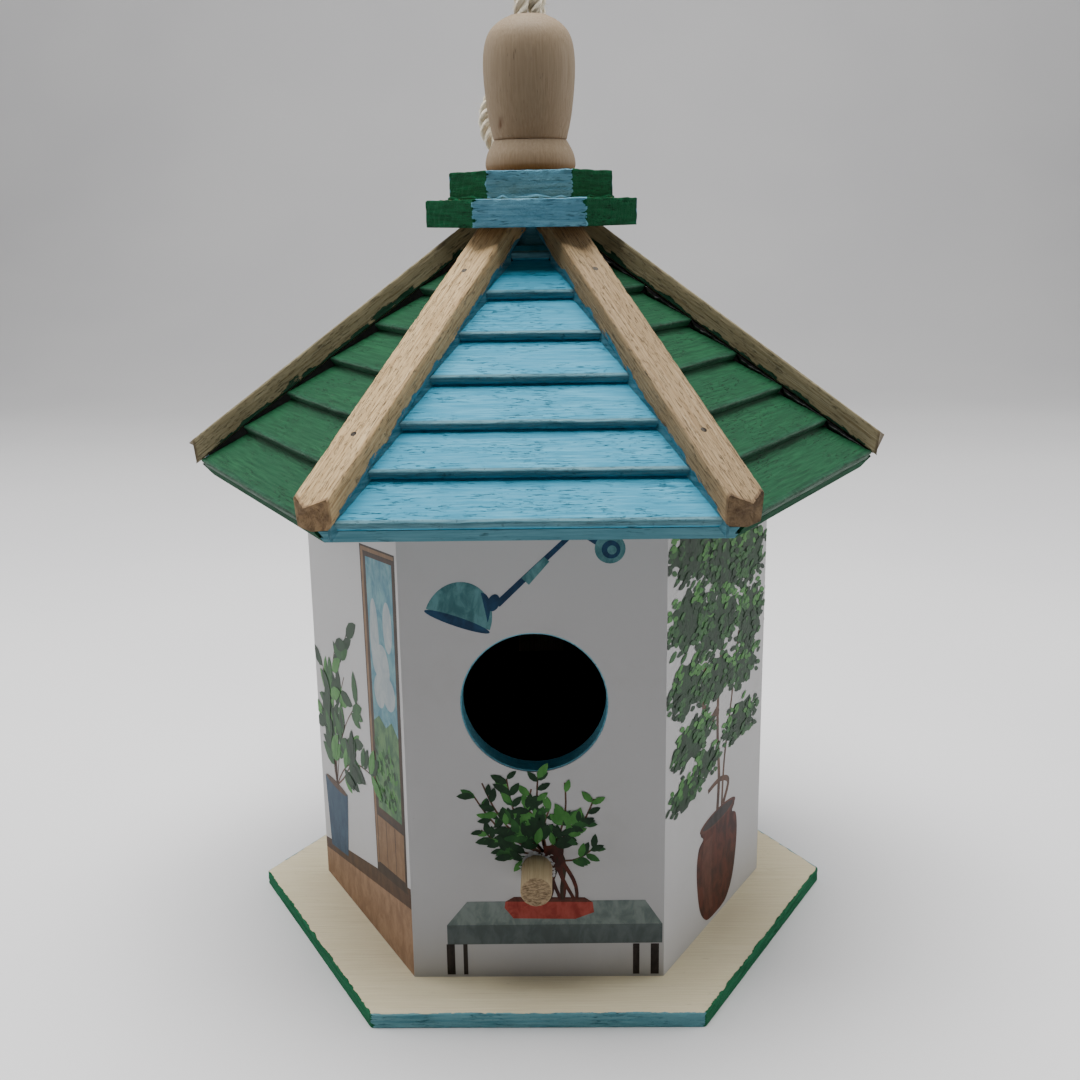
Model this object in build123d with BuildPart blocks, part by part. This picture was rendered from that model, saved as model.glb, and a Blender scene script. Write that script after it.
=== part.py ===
"""Hexagonal hanging birdhouse: six papered walls, a lapped-slat roof under hip battens, a stepped
cap, a turned finial and a cotton hanging loop.  Millimetres, +Z up, the entry hole faces -Y.
The origin is the centre of the base plate's underside."""
from build123d import *
from math import asin, atan, cos, degrees, radians, sin, tan
import os

os.makedirs("parts", exist_ok=True)

# ---- driving dimensions -------------------------------------------------------------------------
SIDES = 6
FACET_TURN = 360 / SIDES
FACETS = ["front", "front_right", "back_right", "back", "back_left", "front_left"]
HIPS = ["front_left", "front_right", "right", "back_right", "back_left", "left"]

base_radius = 74.6            # across corners / 2
base_thick = 3.6
wall_radius = 57.6            # outer corner radius of the bare panels
wall_thick = 5.0
paper_thick = 0.3

entry_radius = 16.0
entry_height = 71.4
perch_radius = 3.5
perch_height = 31.4
perch_reach = 10.8            # how far the dowel stands out of the front wall

roof_pitch = 40.4             # of each facet
eave_radius = 83.5            # corner radius of the first course's lower nose edge
eave_height = 116.3           # height of that edge
slat_thick = 1.9
slat_width = 14.5
exposure = 12.6               # visible width of a course, along the slope
courses = 7
glue_line = 0.04              # film of glue between a slat and what it rests on
backing_thick = 1.5
slat_mitre_gap = 3.8          # each slat stops this far short of the hip, under the batten
strip_mitre_gap = 0.6
roof_crown = 168.5            # the roof shell is cut off level here, round the cord

batten_width = 8.6
batten_height = 5.1
batten_radius = 86.6          # corner radius of the point at its lower end

ply_tier = 6.2
cap_base = 172.7
cap_lower_radius = 25.2
cap_upper_radius = 19.4
finial_height = 34.6

cord_diameter = 3.4
cord_bore_radius = 3.8
cord_offset_x = 1.58          # the two strands lie side by side in the bore, slightly turned
cord_offset_y = 0.74

clean_radius = 17.0
clean_height = 36.0
cover_radius = 20.5
cover_lug_radius = 6.0
cover_thick = 3.6
cover_gap = 0.15              # between the cover and the papered wall
pivot_height = 59.5
screw_radius = 1.75
screw_play = 0.05

pin_radius = 0.6
pin_head_radius = 1.3
pin_length = 16.0
pin_play = 0.05
batten_pin_radius = 0.4
batten_pin_head = 0.65
batten_pin_length = 7.6       # stops just short of the backing boards
batten_pin_places = (29.0, 70.0)  # distances from the axis

# ---- derived sizes ------------------------------------------------------------------------------
APOTHEM = cos(radians(FACET_TURN / 2))
pitch = radians(roof_pitch)
lap_angle = asin((slat_thick + glue_line) / exposure)  # a lapped slat is this much flatter than the roof
nose_lift = slat_width * sin(lap_angle) + glue_line  # height of a nose above the backing board
eave_apothem = eave_radius * APOTHEM
wall_out = wall_radius * APOTHEM
wall_in = wall_out - wall_thick
paper_out = wall_out + paper_thick
hip_slope = tan(pitch) * APOTHEM               # fall of a hip per unit of radius
nose_apex = eave_height + eave_apothem * tan(pitch)
cap_middle = cap_base + ply_tier
cap_top = cap_middle + ply_tier
finial_top = cap_top + finial_height
cover_in = paper_out + cover_gap
cover_out = cover_in + cover_thick


def roof_point(up_slope, lift):
    """(Y, Z) of a point on the front facet's middle section: distance up the slope from the first
    nose, and height above the backing board."""
    out = eave_apothem - up_slope * cos(pitch) + (lift - nose_lift) * sin(pitch)
    height = eave_height + up_slope * sin(pitch) + (lift - nose_lift) * cos(pitch)
    return (-out, height)


def roof_underside(apothem):
    """Height of the backing board's lower face at this distance from the axis."""
    return nose_apex - (nose_lift + backing_thick) / cos(pitch) - apothem * tan(pitch)


def facet_slab(outlines, low, high, gap=0.0):
    """Slabs with these (Y, Z) outlines, running across the front facet and cut along both hips."""
    with BuildPart() as slab:
        with BuildSketch(Plane.YZ):
            for outline in outlines:
                with BuildLine():
                    Polyline(*outline, close=True)
                make_face()
        extrude(amount=2 * base_radius, both=True)
        reach = 2 * base_radius
        shift = gap / sin(radians(FACET_TURN / 2))
        half = reach * tan(radians(FACET_TURN / 2))
        with BuildSketch(Plane.XY.offset(low)):
            with BuildLine():
                Polyline((0, -shift), (-half, -shift - reach), (half, -shift - reach), close=True)
            make_face()
        extrude(amount=high - low, mode=Mode.INTERSECT)
    return slab.part


def facet_angle(facet):
    return FACETS.index(facet) * FACET_TURN


def save(part, name):
    part.label = name
    export_step(part, f"parts/{name}.step")


# ---- base plate and its pins --------------------------------------------------------------------
pin_circle = (wall_in + wall_out) / 2
pin_spread = 15.0             # each wall has a pin this far to either side of its middle


def pin_places():
    """The pins' positions in plan, two under each wall."""
    places = []
    for step in range(SIDES):
        turn = radians(step * FACET_TURN)
        for side in (-pin_spread, pin_spread):
            x = side * cos(turn) + pin_circle * sin(turn)
            y = side * sin(turn) - pin_circle * cos(turn)
            places.append((x, y))
    return places


with BuildPart() as base_plate:
    with BuildSketch():
        RegularPolygon(base_radius, SIDES)
    extrude(amount=base_thick)
    fillet(base_plate.edges().filter_by(Axis.Z), 1.2)
    chamfer(base_plate.faces().sort_by(Axis.Z)[-1].edges(), 0.4)
    with Locations(*[(x, y, 0) for x, y in pin_places()]):
        Cylinder(pin_radius + pin_play, 3 * base_thick, mode=Mode.SUBTRACT)
        Cylinder(pin_head_radius + pin_play, 0.8, mode=Mode.SUBTRACT,
                 align=(Align.CENTER, Align.CENTER, Align.MIN))
save(base_plate.part, "base_plate")

with BuildPart() as base_pins:
    with Locations(*[(x, y, 0) for x, y in pin_places()]):
        Cylinder(pin_head_radius, 0.7, align=(Align.CENTER, Align.CENTER, Align.MIN))
        Cylinder(pin_radius, pin_length, align=(Align.CENTER, Align.CENTER, Align.MIN))
save(base_pins.part, "base_pins")

# ---- walls: a mitred panel and its printed paper on each side ------------------------------------
wall_outline = [
    (-wall_out, base_thick),
    (-wall_in, base_thick),
    (-wall_in, roof_underside(wall_in)),
    (-wall_out, roof_underside(wall_out)),
]
paper_outline = [
    (-paper_out, base_thick),
    (-wall_out, base_thick),
    (-wall_out, roof_underside(wall_out)),
    (-paper_out, roof_underside(paper_out)),
]
wall_blank = facet_slab([wall_outline], 0, cap_top)
paper_blank = facet_slab([paper_outline], 0, cap_top)


def through_wall(facet, radius, height):
    """Cuts a round hole square through the wall on this side."""
    turn = radians(facet_angle(facet))
    middle = Vector(pin_circle * sin(turn), -pin_circle * cos(turn), height)
    with Locations(Plane(origin=middle, z_dir=(sin(turn), -cos(turn), 0))):
        Cylinder(radius, 4 * wall_thick, mode=Mode.SUBTRACT)


def cut_pin_holes():
    """The pins' holes in a wall's lower edge."""
    with Locations(*[(x, y, 0) for x, y in pin_places()]):
        Cylinder(pin_radius + pin_play, 2 * pin_length + 2, mode=Mode.SUBTRACT)


for facet in FACETS:
    with BuildPart() as wall:
        add(wall_blank, rotation=(0, 0, facet_angle(facet)))
        cut_pin_holes()
        if facet == "front":
            through_wall(facet, entry_radius, entry_height)
            through_wall(facet, perch_radius + pin_play, perch_height)
        if facet == "back":
            through_wall(facet, clean_radius, clean_height)
            through_wall(facet, screw_radius + pin_play, pivot_height)
    save(wall.part, f"wall_{facet}")

    with BuildPart() as paper:
        add(paper_blank, rotation=(0, 0, facet_angle(facet)))
        if facet == "front":
            through_wall(facet, entry_radius + 0.3, entry_height)
            through_wall(facet, perch_radius + 0.2, perch_height)
        if facet == "back":
            through_wall(facet, clean_radius + 0.3, clean_height)
            through_wall(facet, screw_radius + 0.3, pivot_height)
    save(paper.part, f"wall_paper_{facet}")

# ---- perch dowel --------------------------------------------------------------------------------
with BuildPart() as perch:
    with BuildSketch(Plane(origin=(0, -wall_in, perch_height), z_dir=(0, -1, 0))):
        Circle(perch_radius)
    extrude(amount=paper_out - wall_in + perch_reach)
    chamfer(perch.faces().sort_by(Axis.Y)[0].edges(), 0.35)
save(perch.part, "perch")

# ---- roof: backing boards, eave strips and lapped slats -------------------------------------------
slope_length = eave_apothem / cos(pitch)
backing_outline = [
    roof_point(0, 0),
    roof_point(0, -backing_thick),
    roof_point(slope_length, -backing_thick),
    roof_point(slope_length, 0),
]
strip_width = 4.0
eave_strip_outline = [
    roof_point(0, 0),
    roof_point(strip_width, 0),
    roof_point(strip_width, nose_lift - glue_line - strip_width * tan(lap_angle)),
    roof_point(0, nose_lift - glue_line),
]


def slat_outline(course):
    """A slat that rests by its nose on the course below and by its upper edge on the backing."""
    nose = course * exposure
    head = nose + slat_width * cos(lap_angle)
    rise = slat_thick * cos(lap_angle)
    lean = slat_thick * sin(lap_angle)
    return [
        roof_point(nose, nose_lift),
        roof_point(head, glue_line),
        roof_point(head + lean, glue_line + rise),
        roof_point(nose + lean, nose_lift + rise),
    ]


backing_blank = facet_slab([backing_outline], 0, roof_crown)
eave_strip_blank = facet_slab([eave_strip_outline], 0, roof_crown, gap=strip_mitre_gap)
slats_blank = facet_slab([slat_outline(n) for n in range(courses)], 0, roof_crown, gap=slat_mitre_gap)

for facet in FACETS:
    for blank, name in (
        (backing_blank, "roof_backing"),
        (eave_strip_blank, "eave_strip"),
        (slats_blank, "roof_slats"),
    ):
        with BuildPart() as facet_piece:
            add(blank, rotation=(0, 0, facet_angle(facet)))
        save(facet_piece.part, f"{name}_{facet}")

# ---- hip battens --------------------------------------------------------------------------------
corner_drop = slat_mitre_gap * sin(radians(FACET_TURN / 2)) * tan(pitch)
nose_top = slat_thick * (sin(lap_angle) * sin(pitch) + cos(lap_angle) * cos(pitch))
nose_out = slat_thick * (cos(lap_angle) * sin(pitch) - sin(lap_angle) * cos(pitch))
batten_seat = nose_apex + nose_top + nose_out * tan(pitch) - corner_drop + 0.02
hip_angle = atan(hip_slope)
batten_rise = batten_height / cos(hip_angle)
batten_tip = batten_radius + 2.0
batten_outline = [
    (batten_tip, batten_seat - batten_tip * hip_slope),
    (0, batten_seat),
    (0, batten_seat + batten_rise),
    (batten_tip, batten_seat + batten_rise - batten_tip * hip_slope),
]

with BuildPart() as right_batten:
    with BuildSketch(Plane.XZ):
        with BuildLine():
            Polyline(*batten_outline, close=True)
        make_face()
    extrude(amount=batten_width / 2, both=True)
    with BuildSketch():
        RegularPolygon(batten_radius, SIDES)
    extrude(amount=cap_base, mode=Mode.INTERSECT)
    long_edges = right_batten.edges().filter_by(lambda e: e.length > batten_radius / 2)
    fillet(long_edges.group_by(Axis.Z)[-1], 0.4)

# Two pins hold each batten, driven square to the hip and ending between the slats of both facets.
head_deep = 0.6
square_to_hip = (sin(hip_angle), 0, cos(hip_angle))
pin_planes = []
for out in batten_pin_places:
    batten_top = batten_seat + batten_rise - out * hip_slope
    pin_planes.append(Plane(origin=(out, 0, batten_top), z_dir=square_to_hip))

with BuildPart() as right_pins:
    for pin_plane in pin_planes:
        with BuildSketch(pin_plane):
            Circle(batten_pin_radius)
        extrude(amount=-batten_pin_length)
        with BuildSketch(pin_plane):
            Circle(batten_pin_head)
        extrude(amount=-head_deep)

with BuildPart() as drilled_batten:
    add(right_batten.part)
    for pin_plane in pin_planes:
        with BuildSketch(pin_plane):
            Circle(batten_pin_radius + pin_play)
        extrude(amount=-2 * batten_height, mode=Mode.SUBTRACT)
        with BuildSketch(pin_plane):
            Circle(batten_pin_head + pin_play)
        extrude(amount=-(head_deep + pin_play), mode=Mode.SUBTRACT)

for step, hip in enumerate(HIPS):
    turn = (step - HIPS.index("right")) * FACET_TURN
    with BuildPart() as batten:
        add(drilled_batten.part, rotation=(0, 0, turn))
    save(batten.part, f"hip_batten_{hip}")

with BuildPart() as batten_pins:
    for step in range(SIDES):
        add(right_pins.part, rotation=(0, 0, step * FACET_TURN))
save(batten_pins.part, "batten_pins")

# ---- apex block inside the roof, drilled for the cord ---------------------------------------------
block_low = 157.0
block_high = 167.0
block_clearance = 0.05


def block_radius(height):
    """Corner radius of the bevelled block where it meets the backing boards."""
    apothem = (roof_underside(0) - height) / tan(pitch) - block_clearance
    return apothem / APOTHEM


with BuildPart() as apex_block:
    with BuildSketch(Plane.XY.offset(block_low)):
        RegularPolygon(block_radius(block_low), SIDES)
    with BuildSketch(Plane.XY.offset(block_high)):
        RegularPolygon(block_radius(block_high), SIDES)
    loft()
    with BuildSketch(Plane.XY.offset(block_low)):
        Circle(cord_bore_radius)
    extrude(amount=block_high - block_low, mode=Mode.SUBTRACT)
save(apex_block.part, "apex_block")

# ---- cap: two plywood hexagons --------------------------------------------------------------------
for name, radius, level in (
    ("cap_lower", cap_lower_radius, cap_base),
    ("cap_upper", cap_upper_radius, cap_middle),
):
    with BuildPart() as tier:
        with BuildSketch(Plane.XY.offset(level)):
            RegularPolygon(radius, SIDES)
            Circle(cord_bore_radius, mode=Mode.SUBTRACT)
        extrude(amount=ply_tier)
        fillet(tier.edges().filter_by(Axis.Z).filter_by(GeomType.LINE).filter_by_position(
            Axis.Z, level, level + ply_tier).group_by(SortBy.DISTANCE)[-1], 0.6)
    save(tier.part, name)

# ---- turned finial --------------------------------------------------------------------------------
ring_height = 7.2
ring_radius = 10.6
neck_radius = 8.6
belly_radius = 10.6
belly_height = 21.5
shoulder_height = 31.9
shoulder_radius = 8.2

with BuildPart() as finial:
    with BuildSketch(Plane.XZ):
        with BuildLine():
            Line((cord_bore_radius, cap_top), (ring_radius - 0.5, cap_top))
            Spline(
                (ring_radius - 0.5, cap_top),
                (ring_radius, cap_top + 1.6),
                (ring_radius - 0.5, cap_top + 4.2),
                (neck_radius, cap_top + ring_height),
            )
            Spline(
                (neck_radius, cap_top + ring_height),
                (neck_radius + 1.3, cap_top + 13.5),
                (belly_radius, cap_top + belly_height),
                (belly_radius - 0.3, cap_top + 27.5),
                (shoulder_radius, cap_top + shoulder_height),
                (cord_bore_radius + 0.4, finial_top),
            )
            Line((cord_bore_radius + 0.4, finial_top), (cord_bore_radius, finial_top - 0.3))
            Line((cord_bore_radius, finial_top - 0.3), (cord_bore_radius, cap_top))
        make_face()
    revolve(axis=Axis.Z)
save(finial.part, "finial")

# ---- hanging cord: two strands held in the bores, a knot inside, and the free loop ---------------
knot_height = 8.0
knot_radius = 5.6

with BuildPart() as cord_shank:
    for side in (-1, 1):
        with BuildSketch(Plane.XY.offset(block_low)):
            with Locations((side * cord_offset_x, side * cord_offset_y)):
                Circle(cord_diameter / 2)
    extrude(amount=finial_top - block_low)
save(cord_shank.part, "cord_shank")

with BuildPart() as cord_knot:
    with BuildSketch(Plane.XZ):
        with BuildLine():
            Line((0, block_low), (knot_radius - 1.6, block_low))
            Spline(
                (knot_radius - 1.6, block_low),
                (knot_radius, block_low - knot_height / 2),
                (knot_radius - 1.6, block_low - knot_height),
            )
            Line((knot_radius - 1.6, block_low - knot_height), (0, block_low - knot_height))
            Line((0, block_low - knot_height), (0, block_low))
        make_face()
    revolve(axis=Axis.Z)
save(cord_knot.part, "cord_knot")

# The loop rises out of the finial, bends over backwards and hangs down behind it.  Each row is
# x, y and the height above the finial's top.
cord_route = [
    (-1.58, -0.74, 0.0),
    (-1.58, -0.74, 7.6),
    (-1.90, 3.20, 14.6),
    (-2.20, 10.40, 18.4),
    (-2.50, 18.20, 17.0),
    (-2.30, 23.80, 11.2),
    (-2.00, 25.60, 3.2),
    (-3.00, 24.60, -5.0),
    (-7.20, 23.00, -11.8),
    (-11.70, 21.60, -18.4),
    (-11.40, 20.60, -26.2),
    (-5.20, 20.20, -31.2),
    (2.70, 20.20, -30.8),
    (7.90, 20.80, -25.0),
    (8.00, 21.80, -17.0),
    (4.20, 23.20, -10.0),
    (2.20, 25.00, -2.6),
    (2.10, 26.00, 5.4),
    (2.60, 23.60, 13.0),
    (2.80, 17.60, 18.4),
    (2.40, 10.00, 20.0),
    (1.80, 3.40, 15.8),
    (1.58, 0.74, 8.4),
    (1.58, 0.74, 0.0),
]
route = [Vector(x, y, finial_top + z) for x, y, z in cord_route]
runs = [after - before for before, after in zip(route, route[1:])]
bend_radii = []
for first, second in zip(runs, runs[1:]):
    half_turn = radians(first.get_angle(second)) / 2
    bend_radii.append(0.45 * min(first.length, second.length) / tan(half_turn))

with BuildPart() as hanging_cord:
    with BuildLine() as cord_line:
        FilletPolyline(*route, radius=bend_radii)
    with BuildSketch(Plane(origin=route[0], z_dir=runs[0])):
        Circle(cord_diameter / 2)
    sweep()
save(hanging_cord.part, "hanging_cord")

cord_length = cord_line.wire().length
tube_section = 3.14159 * (cord_diameter / 2) ** 2
print("cord bend radii", [round(r, 1) for r in bend_radii])
print("cord turns", [round(a.get_angle(b), 1) for a, b in zip(runs, runs[1:])])
print("cord runs", [round(run.length, 1) for run in runs])
print("cord length", round(cord_length, 1), "volume ratio",
      round(hanging_cord.part.volume / (tube_section * cord_length), 4))

# ---- clean-out cover on the back wall, turning on one screw ---------------------------------------
with BuildPart() as cleanout_cover:
    with BuildSketch(Plane(origin=(0, cover_in, pivot_height), x_dir=(1, 0, 0), z_dir=(0, 1, 0))):
        Circle(cover_lug_radius)
        with Locations((0, pivot_height - clean_height)):
            Circle(cover_radius)
        make_hull()
        Circle(screw_radius + screw_play, mode=Mode.SUBTRACT)
    extrude(amount=cover_thick)
    chamfer(cleanout_cover.faces().sort_by(Axis.Y)[-1].outer_wire().edges(), 0.5)
save(cleanout_cover.part, "cleanout_cover")

screw_head_radius = 3.2
screw_head_height = 2.2
screw_length = 14.0
head_seat = cover_out + 0.1
slot_width = 0.9

with BuildPart() as cover_screw:
    with BuildSketch(Plane(origin=(0, head_seat, pivot_height), z_dir=(0, 1, 0))):
        Circle(screw_head_radius)
    extrude(amount=screw_head_height)
    fillet(cover_screw.faces().sort_by(Axis.Y)[-1].edges(), 1.5)
    with Locations((0, head_seat + screw_head_height, pivot_height)):
        Box(4 * screw_head_radius, 2.0, slot_width, mode=Mode.SUBTRACT)
    with BuildSketch(Plane(origin=(0, head_seat, pivot_height), z_dir=(0, -1, 0))):
        Circle(screw_radius)
    extrude(amount=screw_length)
save(cover_screw.part, "cover_screw")

block_side = 13.0
block_deep = 8.0

with BuildPart() as pivot_block:
    with Locations((0, wall_in - block_deep / 2, pivot_height)):
        Box(block_side, block_deep, block_side)
    with BuildSketch(Plane(origin=(0, wall_in, pivot_height), z_dir=(0, -1, 0))):
        Circle(screw_radius + pin_play)
    extrude(amount=block_deep, mode=Mode.SUBTRACT)
save(pivot_block.part, "pivot_block")
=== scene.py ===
"""The birdhouse's looks: craft paint, bare wood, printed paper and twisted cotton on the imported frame.

Lengths are millimetres up to make_object and line_of, and metres in Blender. The front faces -Y.
"""

import math

import bpy
import numpy as np
from mathutils import Matrix, Vector
from mathutils.geometry import tessellate_polygon


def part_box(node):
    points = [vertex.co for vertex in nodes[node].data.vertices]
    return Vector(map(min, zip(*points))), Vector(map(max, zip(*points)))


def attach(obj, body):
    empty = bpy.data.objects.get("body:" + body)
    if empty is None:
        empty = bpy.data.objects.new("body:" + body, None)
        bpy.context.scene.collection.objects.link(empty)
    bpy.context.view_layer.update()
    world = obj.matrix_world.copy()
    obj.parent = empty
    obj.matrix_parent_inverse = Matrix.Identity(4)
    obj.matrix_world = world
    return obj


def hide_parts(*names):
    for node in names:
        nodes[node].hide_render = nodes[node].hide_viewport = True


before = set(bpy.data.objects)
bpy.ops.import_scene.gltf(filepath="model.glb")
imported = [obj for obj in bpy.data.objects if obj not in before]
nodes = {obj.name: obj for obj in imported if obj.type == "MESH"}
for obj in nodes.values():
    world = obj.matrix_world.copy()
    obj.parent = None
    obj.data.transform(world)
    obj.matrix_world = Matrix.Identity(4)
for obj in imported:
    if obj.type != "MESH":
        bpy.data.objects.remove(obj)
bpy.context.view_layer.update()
MM = 0.001
TURN = math.radians(60)
FACETS = ["front", "front_right", "back_right", "back", "back_left", "front_left"]
BLUE_FACETS = ("front", "back_right", "back_left")
HIP_ANGLES = {
    "front_right": 30, "right": 90, "back_right": 150, "back_left": 210, "left": 270, "front_left": 330,
}


def span(node, axis):
    """A CAD node's lowest and highest value on this axis."""
    return [corner[axis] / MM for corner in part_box(node)]


# ---- camera and hanging cord --------------------------------------------------------------------
CAMERA_PLACE = (6.87, -313.3, 175.9)
CAMERA_YAW, CAMERA_PITCH, CAMERA_ROLL = 1.0996, 14.3778, -0.8842    # degrees to the left, down and clockwise
CAMERA_LENS = 42.63


def add_camera():
    data = bpy.data.cameras.new("camera")
    data.sensor_width = 36
    data.lens = CAMERA_LENS
    data.clip_start = 0.01
    data.clip_end = 20
    camera = bpy.data.objects.new("camera", data)
    bpy.context.collection.objects.link(camera)
    yaw, pitch, roll = [math.radians(angle) for angle in (CAMERA_YAW, CAMERA_PITCH, CAMERA_ROLL)]
    ahead = Vector((-math.sin(yaw) * math.cos(pitch), math.cos(yaw) * math.cos(pitch), -math.sin(pitch)))
    right = Vector((math.cos(yaw), math.sin(yaw), 0))
    up = right.cross(ahead)
    across = right * math.cos(roll) + up * math.sin(roll)
    upward = up * math.cos(roll) - right * math.sin(roll)
    turn = Matrix((across, upward, -ahead)).transposed()
    camera.matrix_world = Matrix.Translation(Vector(CAMERA_PLACE) * MM) @ turn.to_4x4()
    bpy.context.scene.camera = camera


add_camera()
FINIAL_TOP = span("finial", 2)[1]
BORE_X, BORE_Y = 1.58, 0.74    # where the two strands stand in the finial's bore, one each side
LOOP = [    # x, y and height over the finial
    (-BORE_X, -BORE_Y, 0.0), (-BORE_X, -BORE_Y, 7.6), (-1.90, 3.20, 14.6), (-2.20, 10.40, 18.4),
    (-2.50, 18.20, 17.0), (-2.30, 23.80, 11.2), (-2.00, 25.60, 3.2), (-3.00, 24.60, -5.0),
    (-7.20, 23.00, -11.8),
    (-11.70, 21.60, -18.4), (-11.40, 20.60, -26.2), (-5.20, 20.20, -31.2), (2.70, 20.20, -30.8),
    (7.90, 20.80, -25.0), (8.00, 21.80, -17.0), (4.20, 23.20, -10.0), (2.20, 25.00, -2.6),
    (2.10, 26.00, 5.4), (2.60, 23.60, 13.0), (2.80, 17.60, 18.4), (2.40, 10.00, 20.0),
    (1.80, 3.40, 15.8), (BORE_X, BORE_Y, 8.4), (BORE_X, BORE_Y, 0.0),
]


def line_of(route):
    """Points along the smooth NURBS line that has these control points, both in metres."""
    curve = bpy.data.curves.new("route", "CURVE")
    curve.dimensions = "3D"
    spline = curve.splines.new("NURBS")
    spline.points.add(len(route) - 1)
    for point, place in zip(spline.points, route):
        point.co = (*place, 1)
    spline.order_u = 3
    spline.use_endpoint_u = True
    spline.resolution_u = 16
    holder = bpy.data.objects.new("route", curve)
    bpy.context.collection.objects.link(holder)
    drawn = bpy.data.meshes.new_from_object(holder)
    points = np.array([v.co for v in drawn.vertices])
    bpy.data.objects.remove(holder)
    bpy.data.meshes.remove(drawn)
    return points


# ---- mesh helpers -------------------------------------------------------------------------------
def make_object(name, verts, faces, materials, layer=None, smooth=True, sharp=40, **attributes):
    """A mesh object in metres from points in millimetres, riding on the house."""
    mesh = bpy.data.meshes.new(name)
    mesh.from_pydata((np.asarray(verts, float) * MM).tolist(), [], [list(map(int, f)) for f in faces])
    for material in materials:
        mesh.materials.append(material)
    if layer is not None:
        mesh.polygons.foreach_set("material_index", layer)
    for key, values in attributes.items():
        values = np.asarray(values, np.float32)
        if values.ndim == 2:
            mesh.attributes.new(key, "FLOAT_VECTOR", "POINT").data.foreach_set("vector", values.ravel())
        else:
            mesh.attributes.new(key, "FLOAT", "POINT").data.foreach_set("value", values)
    mesh.validate()
    mesh.update()
    if smooth:
        mesh.shade_smooth()
        mesh.set_sharp_from_angle(angle=math.radians(sharp))
    piece = bpy.data.objects.new(name, mesh)
    bpy.context.collection.objects.link(piece)
    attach(piece, "house")
    return piece


def skin(rings, caps=True, start=0, closed=False):
    """Faces of a tube through rings of (stations, points, 3), closed where its last ring meets its first."""
    stations, points = rings.shape[:2]
    faces = []
    for i in range(stations if closed else stations - 1):
        a, b = start + i * points, start + (i + 1) % stations * points
        for j in range(points):
            k = (j + 1) % points
            faces.append((a + j, a + k, b + k, b + j))
    if caps:
        faces.append(tuple(start + j for j in reversed(range(points))))
        last = start + (stations - 1) * points
        faces.append(tuple(last + j for j in range(points)))
    return faces


def add_tube(verts, faces, rows):
    """Adds a capped tube through these rows to the lists of a mesh in the making."""
    faces += skin(rows, start=len(verts))
    verts += rows.reshape(-1, 3).tolist()


def circle(count):
    return np.arange(count) / count * 2 * math.pi


def turned(points, angle):
    """Points turned about Z."""
    c, s = math.cos(angle), math.sin(angle)
    points = np.asarray(points, float)
    return np.stack([points[..., 0] * c - points[..., 1] * s, points[..., 0] * s + points[..., 1] * c,
                     points[..., 2]], axis=-1)


def smooth_profile(points, per_span=9):
    """Catmull-Rom line through these points, as a list."""
    p = np.array([points[0]] + list(points) + [points[-1]], float)
    out = []
    for i in range(1, len(p) - 2):
        for f in np.arange(per_span) / per_span:
            out.append(0.5 * (2 * p[i] + (p[i + 1] - p[i - 1]) * f
                              + (2 * p[i - 1] - 5 * p[i] + 4 * p[i + 1] - p[i + 2]) * f ** 2
                              + (3 * p[i] - p[i - 1] - 3 * p[i + 1] + p[i + 2]) * f ** 3))
    out.append(p[-2])
    return out


def ragged(length, count, step, seed):
    """Irregular values along an edge of this length, one for each of count stations."""
    knots = np.random.default_rng(seed).standard_normal(int(length / step) + 3)
    return np.interp(np.linspace(0, length, count), np.arange(len(knots)) * step, knots)


# ---- material helpers ---------------------------------------------------------------------------
def srgb(code):
    """Linear colour of a hex code."""
    parts = [int(code[i:i + 2], 16) / 255 for i in (0, 2, 4)]
    return tuple(p / 12.92 if p <= 0.04045 else ((p + 0.055) / 1.055) ** 2.4 for p in parts) + (1.0,)


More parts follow.
